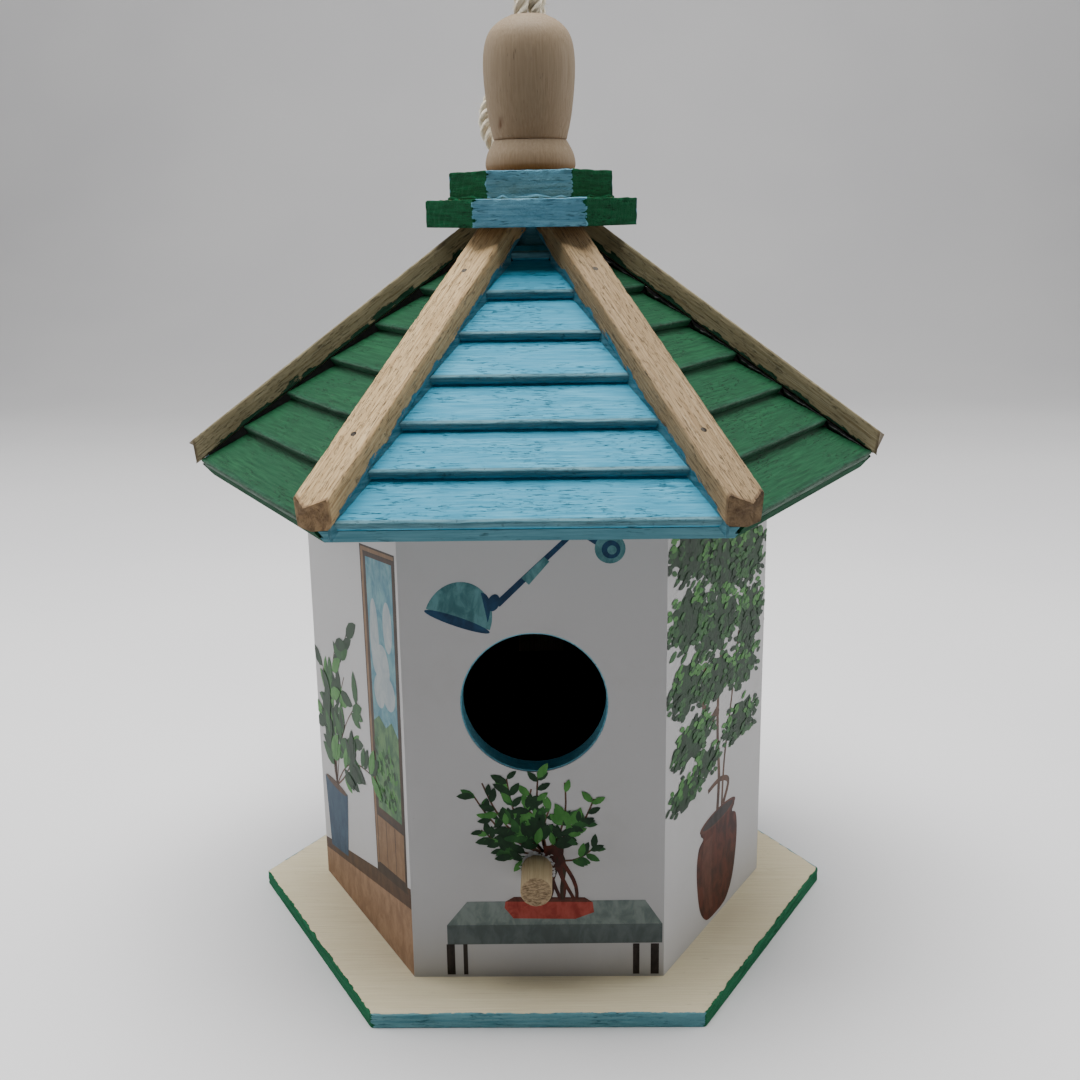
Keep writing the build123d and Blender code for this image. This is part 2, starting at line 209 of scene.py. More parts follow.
class Look:
    """A Principled material with short calls for its nodes."""

    def __init__(self, name, **fixed):
        self.material = bpy.data.materials.new(name)
        self.material.use_nodes = True
        self.tree = self.material.node_tree
        self.shader = self.tree.nodes["Principled BSDF"]
        self.set(**fixed)

    def set(self, **fixed):
        for key, value in fixed.items():
            self.shader.inputs[key.replace("_", " ")].default_value = value

    def put(self, socket, value):
        if isinstance(value, bpy.types.NodeSocket):
            self.tree.links.new(value, socket)
        elif value is not None:
            socket.default_value = value

    def node(self, kind, *values, **props):
        made = self.tree.nodes.new(kind)
        for key, value in props.items():
            setattr(made, key, value)
        for socket, value in zip(made.inputs, values):
            self.put(socket, value)
        return made

    def math(self, operation, a, b=None):
        return self.node("ShaderNodeMath", a, b, operation=operation).outputs[0]

    def times(self, a, b):
        return self.math("MULTIPLY", a, b)

    def plus(self, a, b):
        return self.math("ADD", a, b)

    def minus(self, a, b):
        return self.math("SUBTRACT", a, b)

    def attribute(self, name, which="Vector"):
        return self.node("ShaderNodeAttribute", attribute_name=name).outputs[which]

    def place(self, turn=0.0):
        """Row-frame coordinates in millimetres, turned so that the named facet faces -Y."""
        spot = self.node("ShaderNodeTexCoord").outputs["Object"]
        turned = self.node("ShaderNodeVectorRotate", rotation_type="Z_AXIS")
        self.put(turned.inputs["Vector"], spot)
        turned.inputs["Angle"].default_value = -turn
        return self.stretch(turned.outputs[0], 1000, 1000, 1000)

    def stretch(self, vector, x, y, z):
        made = self.node("ShaderNodeVectorMath", vector, operation="MULTIPLY")
        made.inputs[1].default_value = (x, y, z)
        return made.outputs[0]

    def split(self, vector):
        return self.node("ShaderNodeSeparateXYZ", vector).outputs

    def noise(self, vector, scale, detail=4.0, rough=0.55, warp=0.0):
        """Noise of one scale, or of a scale for each axis."""
        if isinstance(scale, tuple):
            vector, scale = self.stretch(vector, *scale), 1.0
        made = self.node("ShaderNodeTexNoise")
        self.put(made.inputs["Vector"], vector)
        for key, value in (("Scale", scale), ("Detail", detail), ("Roughness", rough), ("Distortion", warp)):
            made.inputs[key].default_value = value
        return made.outputs["Fac"]

    def cells(self, vector, scale):
        made = self.node("ShaderNodeTexVoronoi")
        self.put(made.inputs["Vector"], vector)
        made.inputs["Scale"].default_value = scale
        return made.outputs["Distance"]

    def band(self, value, low, high, to_low=0.0, to_high=1.0):
        """value mapped from low..high to to_low..to_high, smoothly and clamped."""
        made = self.node("ShaderNodeMapRange", value, interpolation_type="SMOOTHSTEP")
        for socket, number in zip(made.inputs[1:5], (low, high, to_low, to_high)):
            socket.default_value = number
        return made.outputs[0]

    def mix(self, amount, a, b, how="MIX"):
        made = self.node("ShaderNodeMix", data_type="RGBA", blend_type=how)
        for index, value in ((0, amount), (6, a), (7, b)):
            self.put(made.inputs[index], value)
        return made.outputs[2]

    def finish(self, colour, rough, relief, depth, strength=1.0):
        """Sets the colour, the roughness if that varies and the bump, and gives the material."""
        self.put(self.shader.inputs["Base Color"], colour)
        self.put(self.shader.inputs["Roughness"], rough)
        made = self.node("ShaderNodeBump")
        made.inputs["Strength"].default_value = strength
        made.inputs["Distance"].default_value = depth * MM
        self.put(made.inputs["Height"], relief)
        self.put(self.shader.inputs["Normal"], made.outputs[0])
        return self.material


# Tones of a paint or wood, from its pores to its lightest streaks
BLUE = ("14495b", "247b97", "2f8aa8", "429bb8")
GREEN = ("021b0d", "083720", "0c3f26", "164e2f")
# The nose tones are the roof paint darkened as painted shade, for the slats' noses and the eave boards
SHADED_NOSE_BLUE = ("173138", "3c6773", "46727d", "547f89")
SHADED_NOSE_GREEN = ("03160c", "09321f", "0e3c26", "16472f")
CAP_BLUE = ("24505f", "4a7f94", "588ea3", "6fa4b8")
CAP_GREEN = ("01130a", "053820", "074428", "0d5132")
BASE_BLUE = ("305f6b", "568f9a", "68a0aa", "7eb3bb")
BASE_GREEN = ("0f3b25", "19573a", "216545", "2e7552")
PALE_WOOD = ("4a3826", "b79f80", "c9b598", "ddcdb4")
GREY_WOOD = ("2a1e10", "786041", "8b7453", "a28c6a")
ENTRY_HEIGHT, ENTRY_RADIUS = 71.4, 16.0


def painted(look, vector, tones):
    """Brushed acrylic on open-grained wood: its colour, relief, roughness and streaks, which run along X."""
    deep, mid, body, light = [srgb(t) for t in tones]
    streaks = look.noise(vector, (0.10, 1.5, 1.5), 5, 0.6)
    clouds = look.noise(vector, (0.05, 0.12, 0.12), 3)
    pores = look.noise(vector, (0.42, 3.4, 3.4), 3, 0.5)
    patches = look.noise(look.stretch(vector, 0.045, 0.10, 0.10), 1.7, 2)
    coat = look.mix(look.band(streaks, 0.32, 0.70), mid, light)
    coat = look.mix(look.band(clouds, 0.30, 0.72, 0.0, 0.75), coat, body)
    open_pore = look.times(look.band(pores, 0.59, 0.66), look.band(patches, 0.40, 0.60))
    coat = look.mix(look.times(open_pore, 0.72), coat, deep)
    relief = look.minus(look.times(streaks, 0.7), look.times(open_pore, 1.2))
    look.set(Specular_IOR_Level=0.16)
    return coat, relief, look.band(streaks, 0.2, 0.8, 0.72, 0.52), streaks


def wooden(look, vector, tones, pore=0.66):
    """Planed softwood with its grain along X: its colour, relief and roughness."""
    dark, mid, body, light = [srgb(t) for t in tones]
    fibre = look.noise(vector, (0.07, 2.6, 2.6), 6, 0.62)
    broad = look.noise(look.stretch(vector, 0.018, 0.42, 0.42), 1.3, 3, 0.5, 0.4)
    pores = look.noise(vector, (0.22, 4.2, 4.2), 3, 0.55)
    stain = look.noise(vector, (0.06, 0.11, 0.11), 4)
    tone = look.mix(look.band(fibre, 0.30, 0.70), mid, light)
    tone = look.mix(look.band(broad, 0.34, 0.66, 0.0, 0.62), tone, body)
    tone = look.mix(look.band(stain, 0.56, 0.78, 0.0, 0.45), tone, mid)
    dots = look.band(pores, pore, pore + 0.07)
    look.set(Specular_IOR_Level=0.25)
    tone = look.mix(look.times(dots, 0.6), tone, dark)
    relief = look.minus(look.times(fibre, 0.7), look.times(dots, 0.5))
    return tone, relief, look.band(fibre, 0.2, 0.8, 0.78, 0.6)


def paint_on_slats(name, tones, shaded_nose_tones):
    """Roof paint, which turns to the greyer nose tones as painted shade and is nicked where the ridge value is
    high.
    """
    look = Look(name)
    grain = look.attribute("grain")
    coat, relief, gloss, streaks = painted(look, grain, tones)
    nicks = look.noise(look.stretch(grain, 0.5, 0.5, 0.5), 1.1, 5, 0.65)
    ridge = look.attribute("ridge", "Fac")
    worn = look.times(look.band(nicks, 0.60, 0.68), ridge)
    # Painted shade: the paint turns to the darker nose tones on the noses
    nose = look.mix(look.band(streaks, 0.35, 0.65), srgb(shaded_nose_tones[1]), srgb(shaded_nose_tones[3]))
    coat = look.mix(look.band(ridge, 0.25, 0.75), coat, nose)
    coat = look.mix(look.times(worn, 0.6), coat, srgb(shaded_nose_tones[0]))
    return look.finish(coat, gloss, relief, 0.2)


def paint_on_board(name, tones, turn):
    """Matt paint on a CAD board, its streaks level across the facet that faces this way."""
    look = Look(name)
    coat, relief, _, _ = painted(look, look.place(turn), tones)
    look.set(Specular_IOR_Level=0.05)
    return look.finish(coat, look.band(relief, 0.0, 1.0, 0.9, 0.75), relief, 0.12)


def wood_along(name, tones, order):
    """Wood on a CAD node, its grain along the first axis of this order."""
    look = Look(name)
    parts = look.split(look.place())
    vector = look.node("ShaderNodeCombineXYZ", *[parts[i] for i in order]).outputs[0]
    tone, relief, gloss = wooden(look, vector, tones)
    return look.finish(tone, gloss, relief, 0.10)


def batten_look():
    """Bare greyish-tan wood, brown on its sawn end, with the roof's paint smeared along both lower edges,
    painted light on the front-left batten and painted cool shade on the four not at the front.
    """
    look = Look("batten_wood")
    grain = look.attribute("grain")
    tone, relief, gloss = wooden(look, grain, GREY_WOOD, 0.60)
    flecks = look.noise(grain, (0.5, 2.4, 2.4), 4, 0.7)
    flecks = look.band(flecks, 0.56, 0.68)
    tone = look.mix(look.times(flecks, 0.5), tone, srgb(GREY_WOOD[0]))
    knots = look.cells(look.stretch(grain, 0.05, 0.16, 0.16), 1.0)
    tone = look.mix(look.band(knots, 0.10, 0.04, 0.0, 0.75), tone, srgb("5a4632"))
    smear = look.noise(grain, (0.16, 0.5, 0.5), 5, 0.6)
    height = look.plus(look.split(grain)[2], look.band(smear, 0.25, 0.78, 1.0, -1.3))
    on_side = look.attribute("side", "Fac")
    mask = look.times(look.band(height, 0.86, 0.62), look.band(on_side, 0.4, 0.6))
    tint = look.mix(look.attribute("tint", "Fac"), srgb("0b3a25"), srgb("3f7688"))
    sawn = look.mix(look.band(smear, 0.35, 0.65), srgb("5a4631"), srgb("7f684b"))
    tone = look.mix(look.attribute("end", "Fac"), tone, sawn)
    # Painted cool shade on the battens not at the front, and painted light on the front-left one
    tone = look.mix(look.attribute("grey", "Fac"), tone, (0.86, 1.06, 1.18, 1), "MULTIPLY")
    tone = look.mix(look.attribute("pale", "Fac"), tone, (1.6, 1.6, 1.56, 1), "MULTIPLY")
    relief = look.minus(relief, look.times(flecks, 0.6))
    return look.finish(look.mix(mask, tone, tint), gloss, look.plus(relief, look.times(mask, 0.8)), 0.24)


def edged_look(name, tones, blues, greens, creep):
    """A plywood plate, bare on its faces, with painted edges that creep over the arris."""
    look = Look(name)
    tone, relief, gloss = wooden(look, look.attribute("grain"), tones, 0.69)
    around = look.attribute("around")
    blue, blue_relief, _, _ = painted(look, around, blues)
    green, _, _, _ = painted(look, around, greens)
    lap = look.noise(around, (0.3, 0.8, 0.3), 4, 0.6)
    meet = look.plus(look.attribute("tint", "Fac"), look.band(lap, 0.25, 0.75, -0.42, 0.42))
    coat = look.mix(look.band(meet, 0.46, 0.54), green, blue)
    stipple = look.noise(around, (1.7, 2.0, 1.7), 5, 0.65)
    wander = look.noise(look.attribute("grain"), (0.35, 0.35, 0.35), 5, 0.62)
    inset = look.attribute("inset", "Fac")
    edge = look.plus(inset, look.band(wander, 0.30, 0.72, 0.10, -creep))
    mask = look.band(edge, 0.30, 0.16)
    thick = look.plus(blue_relief, look.times(stipple, 1.3))
    look.set(Specular_IOR_Level=0.04)
    return look.finish(look.mix(mask, tone, coat), gloss, look.plus(relief, look.times(mask, thick)), 0.32)


def paper_look():
    """White printed paper, lightly glazed, with faint smudges and specks."""
    look = Look("paper", Roughness=0.5, Specular_IOR_Level=0.3)
    vector = look.place()
    smudge = look.noise(vector, (0.05, 0.05, 0.05), 5, 0.6)
    tone = look.mix(look.band(smudge, 0.50, 0.80, 0.0, 0.45), srgb("adacac"), srgb("a09e9b"))
    specks = look.noise(vector, (1.1, 1.1, 1.1), 2, 0.5)
    tone = look.mix(look.band(specks, 0.76, 0.80, 0.0, 0.35), tone, srgb("6d6860"))
    wave = look.noise(vector, (0.03, 0.03, 0.02), 2)
    fibre = look.noise(vector, (3.0, 3.0, 3.0), 2)
    return look.finish(tone, None, look.plus(wave, look.times(fibre, 0.02)), 0.5, 0.5)


def cotton_look():
    look = Look("cotton", Roughness=0.95)
    yarn = look.attribute("grain")
    fibre = look.noise(yarn, (0.5, 5.0, 5.0), 5, 0.65)
    dirt = look.noise(yarn, (0.12, 0.5, 0.5), 3)
    tone = look.mix(look.band(fibre, 0.3, 0.7), srgb("c4b89e"), srgb("f0e8d5"))
    tone = look.mix(look.band(dirt, 0.55, 0.8, 0.0, 0.4), tone, srgb("b5a78d"))
    return look.finish(tone, None, fibre, 0.12)


def steel_look(name, tones, rough):
    look = Look(name, Metallic=1.0)
    vector = look.place()
    grime = look.noise(vector, 0.9, 4, 0.6)
    tone = look.mix(look.band(grime, 0.35, 0.7), srgb(tones[0]), srgb(tones[1]))
    gloss = look.band(grime, 0.3, 0.7, rough, rough + 0.25)
    return look.finish(tone, gloss, look.noise(vector, (3, 3, 3), 3), 0.02)


def glue_look(name, coat, smooth, rough):
    look = Look(name, Coat_Weight=coat, Coat_Roughness=0.03)
    cloud = look.noise(look.place(), 0.8, 3)
    tone = look.mix(look.band(cloud, 0.35, 0.7), srgb("070707"), srgb("1b1a17"))
    return look.finish(tone, look.band(cloud, 0.3, 0.7, smooth, rough), cloud, 0.2)


def wall_look():
    """Bare panel, with painted shade darkening it inside, and with the entry hole's bore painted."""
    look = Look("panel_wood")
    place = look.place()
    parts = look.split(place)
    vector = look.node("ShaderNodeCombineXYZ", parts[2], parts[0], parts[1]).outputs[0]
    tone, relief, gloss = wooden(look, vector, PALE_WOOD)
    dx = look.math("POWER", parts[0], 2.0)
    dz = look.math("POWER", look.minus(parts[2], ENTRY_HEIGHT), 2.0)
    far = look.math("SQRT", look.plus(dx, dz))
    drips = look.noise(place, (0.4, 0.4, 0.4), 4)
    near = look.plus(far, look.band(drips, 0.3, 0.7, 0.4, -0.4))
    forward = look.band(parts[1], -30.0, -40.0)
    mask = look.times(look.band(near, ENTRY_RADIUS + 1.2, ENTRY_RADIUS + 0.8), forward)
    coat, _, _, _ = painted(look, place, ("2c6676", "4d8ea0", "5b9db0", "70b0c2"))
    flat = look.stretch(place, 1, 1, 0)
    inner = look.node("ShaderNodeVectorMath", flat, operation="LENGTH").outputs["Value"]
    # Painted shade: the inner faces turn nearly black towards the inside
    shade = look.band(inner, 56.0, 46.0, 0.0, 0.93)
    tone = look.mix(shade, tone, srgb("140d08"))
    return look.finish(look.mix(mask, tone, coat), gloss, relief, 0.1)


SLAT_BLUE = paint_on_slats("slat_blue", BLUE, SHADED_NOSE_BLUE)
SLAT_GREEN = paint_on_slats("slat_green", GREEN, SHADED_NOSE_GREEN)
BATTEN = batten_look()
PAPER = paper_look()
COTTON = cotton_look()
DARK_STEEL = steel_look("old_steel", ("2c2824", "5a544c"), 0.45)
ZINC = steel_look("zinc_steel", ("8d8f90", "b9bbbb"), 0.25)
GLUE = glue_look("dried_glue", 0.6, 0.05, 0.14)
GLUE_DULL = glue_look("glue_bed", 0.0, 0.6, 0.8)


# ---- hanging cord: three twisted strands --------------------------------------------------------
def carry_frames(points):
    """Unit tangent, normal and side along a line, without twist."""
    ahead = np.gradient(points, axis=0)
    ahead /= np.linalg.norm(ahead, axis=1)[:, None]
    normal = np.cross(ahead[0], (0.3, 0.5, 0.8))
    normals = []
    for t in ahead:
        normal = normal - t * np.dot(normal, t)
        normal /= np.linalg.norm(normal)
        normals.append(normal)
    normals = np.array(normals)
    return ahead, normals, np.cross(ahead, normals)


def spread_evenly(points, step):
    """Points this far apart along a line, and the length travelled at each."""
    travelled = np.concatenate([[0], np.cumsum(np.linalg.norm(np.diff(points, axis=0), axis=1))])
    at = np.linspace(0, travelled[-1], max(8, int(travelled[-1] / step)))
    return np.stack([np.interp(at, travelled, points[:, i]) for i in range(3)], axis=1), at


CORD_RADIUS = 1.7
STRAND = 0.90
LAY = 8.5
YARNS, YARN_LAY = 5, 2.4 * 5


def twisted(name, line, seed):
    """A rope of three strands round this line, which is in millimetres."""
    points, at = spread_evenly(line, 0.35)
    _, normal, side = carry_frames(points)
    verts, faces, grain = [], [], []
    ring = circle(14)
    loose = ragged(at[-1] + 1, len(at), 4.0, seed) * 0.03
    for strand in range(3):
        angle = 2 * math.pi * (at / LAY + strand / 3)
        offset = (CORD_RADIUS - STRAND) * (1 + loose)
        centre = points + offset[:, None] * (np.cos(angle)[:, None] * normal + np.sin(angle)[:, None] * side)
        twist = ring[None, :] - 2 * math.pi * at[:, None] / YARN_LAY
        radius = STRAND * (1 + 0.085 * np.cos(YARNS * twist))
        spin = ring[None, :] + angle[:, None]
        rows = (centre[:, None, :] + (radius * np.cos(spin))[:, :, None] * normal[:, None, :]
                + (radius * np.sin(spin))[:, :, None] * side[:, None, :])
        add_tube(verts, faces, rows)
        grain += np.stack([np.broadcast_to(at[:, None], twist.shape), np.cos(twist) * 0.9,
                           np.sin(twist) * 0.9 + strand * 5], axis=2).reshape(-1, 3).tolist()
    return make_object(name, verts, faces, [COTTON], grain=grain, sharp=80)


def fibres(name, line, count, seed):
    """Loose cotton fibres standing off a rope."""
    rng = np.random.default_rng(seed)
    points, _ = spread_evenly(line, 0.35)
    ahead, normal, side = carry_frames(points)
    verts, faces, grain = [], [], []
    for _ in range(count):
        i = int(rng.integers(2, len(points) - 2))
        angle = rng.uniform(0, 2 * math.pi)
        out = math.cos(angle) * normal[i] + math.sin(angle) * side[i]
        here = points[i] + out * (CORD_RADIUS - 0.25)
        heading = out * rng.uniform(0.25, 0.8) + ahead[i] * rng.uniform(-1, 1)
        heading /= np.linalg.norm(heading)
        curl = rng.standard_normal(3) * 0.35
        path = [here]
        for _ in range(5):
            heading = heading + curl * 0.4 - out * 0.10
            heading /= np.linalg.norm(heading)
            path.append(path[-1] + heading * rng.uniform(0.25, 0.5))
        path = np.array(path)
        _, a, b = carry_frames(path)
        thick = np.linspace(0.032, 0.012, len(path))
        rows = np.stack([path + thick[:, None] * (math.cos(q) * a + math.sin(q) * b)
                         for q in (0, 2.1, 4.2)], axis=1)
        add_tube(verts, faces, rows)
        grain += [(rng.uniform(0, 40), 0, 0)] * rows.shape[0] * 3
    return make_object(name, verts, faces, [COTTON], grain=grain)


loop_route = [(x * MM, y * MM, (FINIAL_TOP + z) * MM) for x, y, z in LOOP]
loop_line = line_of(loop_route)
cord = twisted("cord_loop", loop_line / MM, seed=3)
fuzz = fibres("cord_fuzz", loop_line / MM, 620, 5)
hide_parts("hanging_cord")

shank_low = span("cord_shank", 2)[0]
for tag, sign in (("a", -1), ("b", 1)):
    route = [(sign * BORE_X * MM, sign * BORE_Y * MM, (shank_low + i * (FINIAL_TOP - shank_low) / 4) * MM)
             for i in range(5)]
    strand = twisted("cord_shank_" + tag, line_of(route) / MM, seed=8)
    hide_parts("cord_shank")

# The stop knot's line is a trefoil.
knot_middle = sum(span("cord_knot", 2)) / 2
turns = np.linspace(0, 2 * math.pi, 90)
knot_line = np.stack([1.27 * (np.sin(turns) + 2 * np.sin(2 * turns)),
                      1.27 * (np.cos(turns) - 2 * np.cos(2 * turns)),
                      knot_middle - 2.2 * np.sin(3 * turns)], axis=1)
knot = twisted("cord_stop_knot", knot_line, seed=11)
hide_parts("cord_knot")

# ---- roof slats ---------------------------------------------------------------------------------
COURSES = 7
PITCH = math.radians(40.4)
EAVE_APOTHEM = 83.5 * math.cos(TURN / 2)
EAVE_HEIGHT = 116.3
EXPOSURE = 12.6
SLAT_THICK = 1.9
SLAT_WIDTH = 14.5
GLUE_LINE = 0.04
LAP = math.asin((SLAT_THICK + GLUE_LINE) / EXPOSURE)
NOSE_LIFT = SLAT_WIDTH * math.sin(LAP) + GLUE_LINE
ROOF_CROWN = 168.5
MITRE_GAP = 3.8
MITRE = MITRE_GAP / math.sin(TURN / 2)


def roof_point(up_slope, lift):
    """The (y, z) of a point on the front facet, this far up from the eave and off the backing board."""
    out = EAVE_APOTHEM - up_slope * math.cos(PITCH) + (lift - NOSE_LIFT) * math.sin(PITCH)
    return np.array([-out, EAVE_HEIGHT + up_slope * math.sin(PITCH) + (lift - NOSE_LIFT) * math.cos(PITCH)])


def slat_rings(course, seed):
    """One front slat as rings across its section, with a ragged bead of paint along its nose."""
    nose = course * EXPOSURE
    head = nose + SLAT_WIDTH * math.cos(LAP)
    rise, lean = SLAT_THICK * math.cos(LAP), SLAT_THICK * math.sin(LAP)
    low_nose, low_head = roof_point(nose, NOSE_LIFT), roof_point(head, GLUE_LINE)
    top_nose, top_head = roof_point(nose + lean, NOSE_LIFT + rise), roof_point(head + lean, GLUE_LINE + rise)
    if low_head[1] > ROOF_CROWN:
        low_head = low_nose + (low_head - low_nose) * (ROOF_CROWN - low_nose[1]) / (low_head[1] - low_nose[1])
        top_head = top_nose + (top_head - top_nose) * (ROOF_CROWN - top_nose[1]) / (top_head[1] - top_nose[1])
    along = (top_head - top_nose) / np.linalg.norm(top_head - top_nose)
    up = (top_nose - low_nose) / np.linalg.norm(top_nose - low_nose)
    width = 2 * (EAVE_APOTHEM - nose * math.cos(PITCH)) * math.tan(TURN / 2)
    stations = max(24, int(width / 0.55))
    coarse = ragged(width, stations, 1.7, seed)
    fine = ragged(width, stations, 0.6, seed + 1)
    bead = np.clip(0.55 + 0.45 * coarse + 0.25 * fine, 0, 1.8)
    sag = ragged(width, stations, 9.0, seed + 2) * 0.06
    # A point, then how far it moves up the slope, how far the bead moves it out and up, and its ridge value,
    # which turns the paint to the nose tones as painted shade and lets it be nicked.
    section = [
        (low_head, 0, 0, 0, 0), (low_nose + along * 0.25, 0, 0, 0, 0), (low_nose + up * 0.2, -0.02, 0, 0, 0.3),
        (low_nose + up * 0.7, -0.02, 0.03, 0, 0.6), (low_nose + up * 1.25, -0.03, 0.06, 0, 1),
        (top_nose - up * 0.32, -0.05, 0.13, 0.00, 1),
        (top_nose - up * 0.06 + along * 0.10, -0.03, 0.08, 0.10, 1),
        (top_nose + along * 0.34, 0, 0.0, 0.14, 1), (top_nose + along * 0.70, 0, 0.0, 0.07, 0.8),
        (top_nose + along * 1.25, 0, 0.0, 0.0, 0.3), (top_nose + along * 3.0, 0, 0.0, 0.0, 0),
        (top_head, 0, 0, 0, 0),
    ]
    rows, grain, ridge = [], [], []
    for i, at in enumerate(np.linspace(-1, 1, stations)):
        for point, fixed, out, lift, worn in section:
            place = point + along * (fixed - out * bead[i]) + up * (lift * bead[i] + sag[i] * (lift + out > 0))
            half = (-point[0] - MITRE) * math.tan(TURN / 2)
            end = max(0.0, abs(at) - 0.985) * 10
            rows.append((at * half, place[0] + end * 0.6 * worn, place[1]))
            slope = np.dot(place - roof_point(0, NOSE_LIFT), along)
            grain.append((at * half, slope, np.dot(place - low_nose, up)))
            ridge.append(worn)
    rows = np.array(rows).reshape(stations, len(section), 3)
    return rows, np.array(grain), np.array(ridge)


def build_slats(facet):
    step = FACETS.index(facet)
    verts, faces, grain, ridge = [], [], [], []
    for course in range(COURSES):
        seed = 100 * step + 10 * course
        rows, run, worn = slat_rings(course, seed)
        add_tube(verts, faces, rows)
        grain += (run + (step * 90 + course * 23, 0, course * 9)).tolist()
        ridge += worn.tolist()
    blue = facet in BLUE_FACETS
    piece = make_object("slats_" + facet, turned(verts, step * TURN), faces,
                        [SLAT_BLUE if blue else SLAT_GREEN], grain=grain, ridge=ridge, sharp=55)
    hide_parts("roof_slats_" + facet)


for facet in FACETS:
    build_slats(facet)

# ---- hip battens --------------------------------------------------------------------------------
HIP_SLOPE = math.tan(PITCH) * math.cos(TURN / 2)
NOSE_APEX = EAVE_HEIGHT + EAVE_APOTHEM * math.tan(PITCH)
NOSE_TOP = SLAT_THICK * (math.sin(LAP) * math.sin(PITCH) + math.cos(LAP) * math.cos(PITCH))
NOSE_OUT = SLAT_THICK * (math.cos(LAP) * math.sin(PITCH) - math.sin(LAP) * math.cos(PITCH))
# The battens' underside, run on to the axis
SEAT = (NOSE_APEX + NOSE_TOP + NOSE_OUT * math.tan(PITCH)
        - MITRE_GAP * math.sin(TURN / 2) * math.tan(PITCH) + 0.02)
BATTEN_HALF = 4.3
BATTEN_RISE = 5.1 / math.cos(math.atan(HIP_SLOPE))
BATTEN_TIP = 86.6
CAP_BASE = 172.7
FILL_DEPTH = 2.9
# Paint that fills a gap gets this ridge value, which turns it mostly to the nose tones as painted shade
PACKED_SHADE = 0.62    # the ridge value of paint that fills a gap


def add_along_hip(verts, faces, rows, angle):
    """Adds a tube whose rows are (radius, across, height), laid along the hip at this angle."""
    add_tube(verts, faces, turned(rows, math.radians(angle - 90)))


def facet_beside(angle, across):
    """The facet on this side of the hip at this angle."""
    return FACETS[((angle + (30 if across > 0 else -30)) // 60) % 6]


def build_batten(hip, angle):
    """One batten with whittled arrises and a sawn tip, pointed where the two eaves meet."""
    seed = 700 + angle
    stations = 190
    w, h = BATTEN_HALF, BATTEN_RISE
    across_slope = math.cos(math.atan(HIP_SLOPE))
    section = [    # across, height over the seat, roughness
        (-w + 0.5, 0.0, 0.4), (-w, 0.28, 1.0), (-w, 0.8, 1.0), (-w, 1.5, 0.7), (-w, 2.4, 0.3), (-w, 4.0, 0.2),
        (-w, h - 0.6, 0.25), (-w + 0.10, h - 0.20, 0.6), (-w + 0.42, h, 0.4), (-2.2, h, 0.1), (0, h, 0.1),
        (2.2, h, 0.1), (w - 0.42, h, 0.4), (w - 0.10, h - 0.20, 0.6), (w, h - 0.6, 0.25), (w, 4.0, 0.2),
        (w, 2.4, 0.3), (w, 1.5, 0.7), (w, 0.8, 1.0), (w, 0.28, 1.0), (w - 0.5, 0.0, 0.4), (0, 0, 0),
    ]
    edges = [ragged(110, stations, 1.1, seed + 3 * k) * 0.5 + ragged(110, stations, 4.0, seed + 50 + k) * 0.8
             for k in range(4)]
    rows, grain, side, tint, end = [], [], [], [], []
    for i, f in enumerate(np.linspace(0, 1, stations)):
        for t, v, roughness in section:
            which = (0 if t < 0 else 1) + (2 if v > 3.2 else 0)
            nudge = 0.11 * roughness * edges[which][i]
            start = max(0.0, (SEAT + v - CAP_BASE) / HIP_SLOPE)
            undercut = 0.1 * (h - v)
            from_middle = 0.6 * w if v < 0.3 and abs(t) < 1 else abs(t)
            stop = BATTEN_TIP - from_middle * math.tan(TURN / 2) - undercut - 0.35 * (v > h - 0.1)
            radius = start + f * (stop - start)
            t_moved = t - math.copysign(abs(nudge) * 0.9, t) if t else 0
            v_moved = v - (0.10 * abs(edges[which][i]) * roughness if v > h - 0.3 else 0)
            rows.append((radius, t_moved, SEAT + v_moved - radius * HIP_SLOPE))
            grain.append((radius / across_slope + angle * 3.1, t, v * across_slope))
            side.append(1.0 if abs(t) > w - 0.05 and v < 3.2 and radius < stop - 3.0 else 0.0)
            end.append(float(i > stations - 3))
            tint.append(float(facet_beside(angle, t) in BLUE_FACETS))
    rows = np.array(rows).reshape(stations, len(section), 3)
    verts = turned(rows.reshape(-1, 3), math.radians(angle - 90))
    # The front-left batten is marked for painted light, and the four not at the front for painted cool shade
    piece = make_object("batten_" + hip, verts, skin(rows), [BATTEN], grain=grain, side=side, tint=tint,
                        end=end, grey=np.full(len(end), float(not hip.startswith("front"))),
                        pale=np.full(len(end), float(hip == "front_left")), sharp=50)
    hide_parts("hip_batten_" + hip)


for hip, angle in HIP_ANGLES.items():
    build_batten(hip, angle)


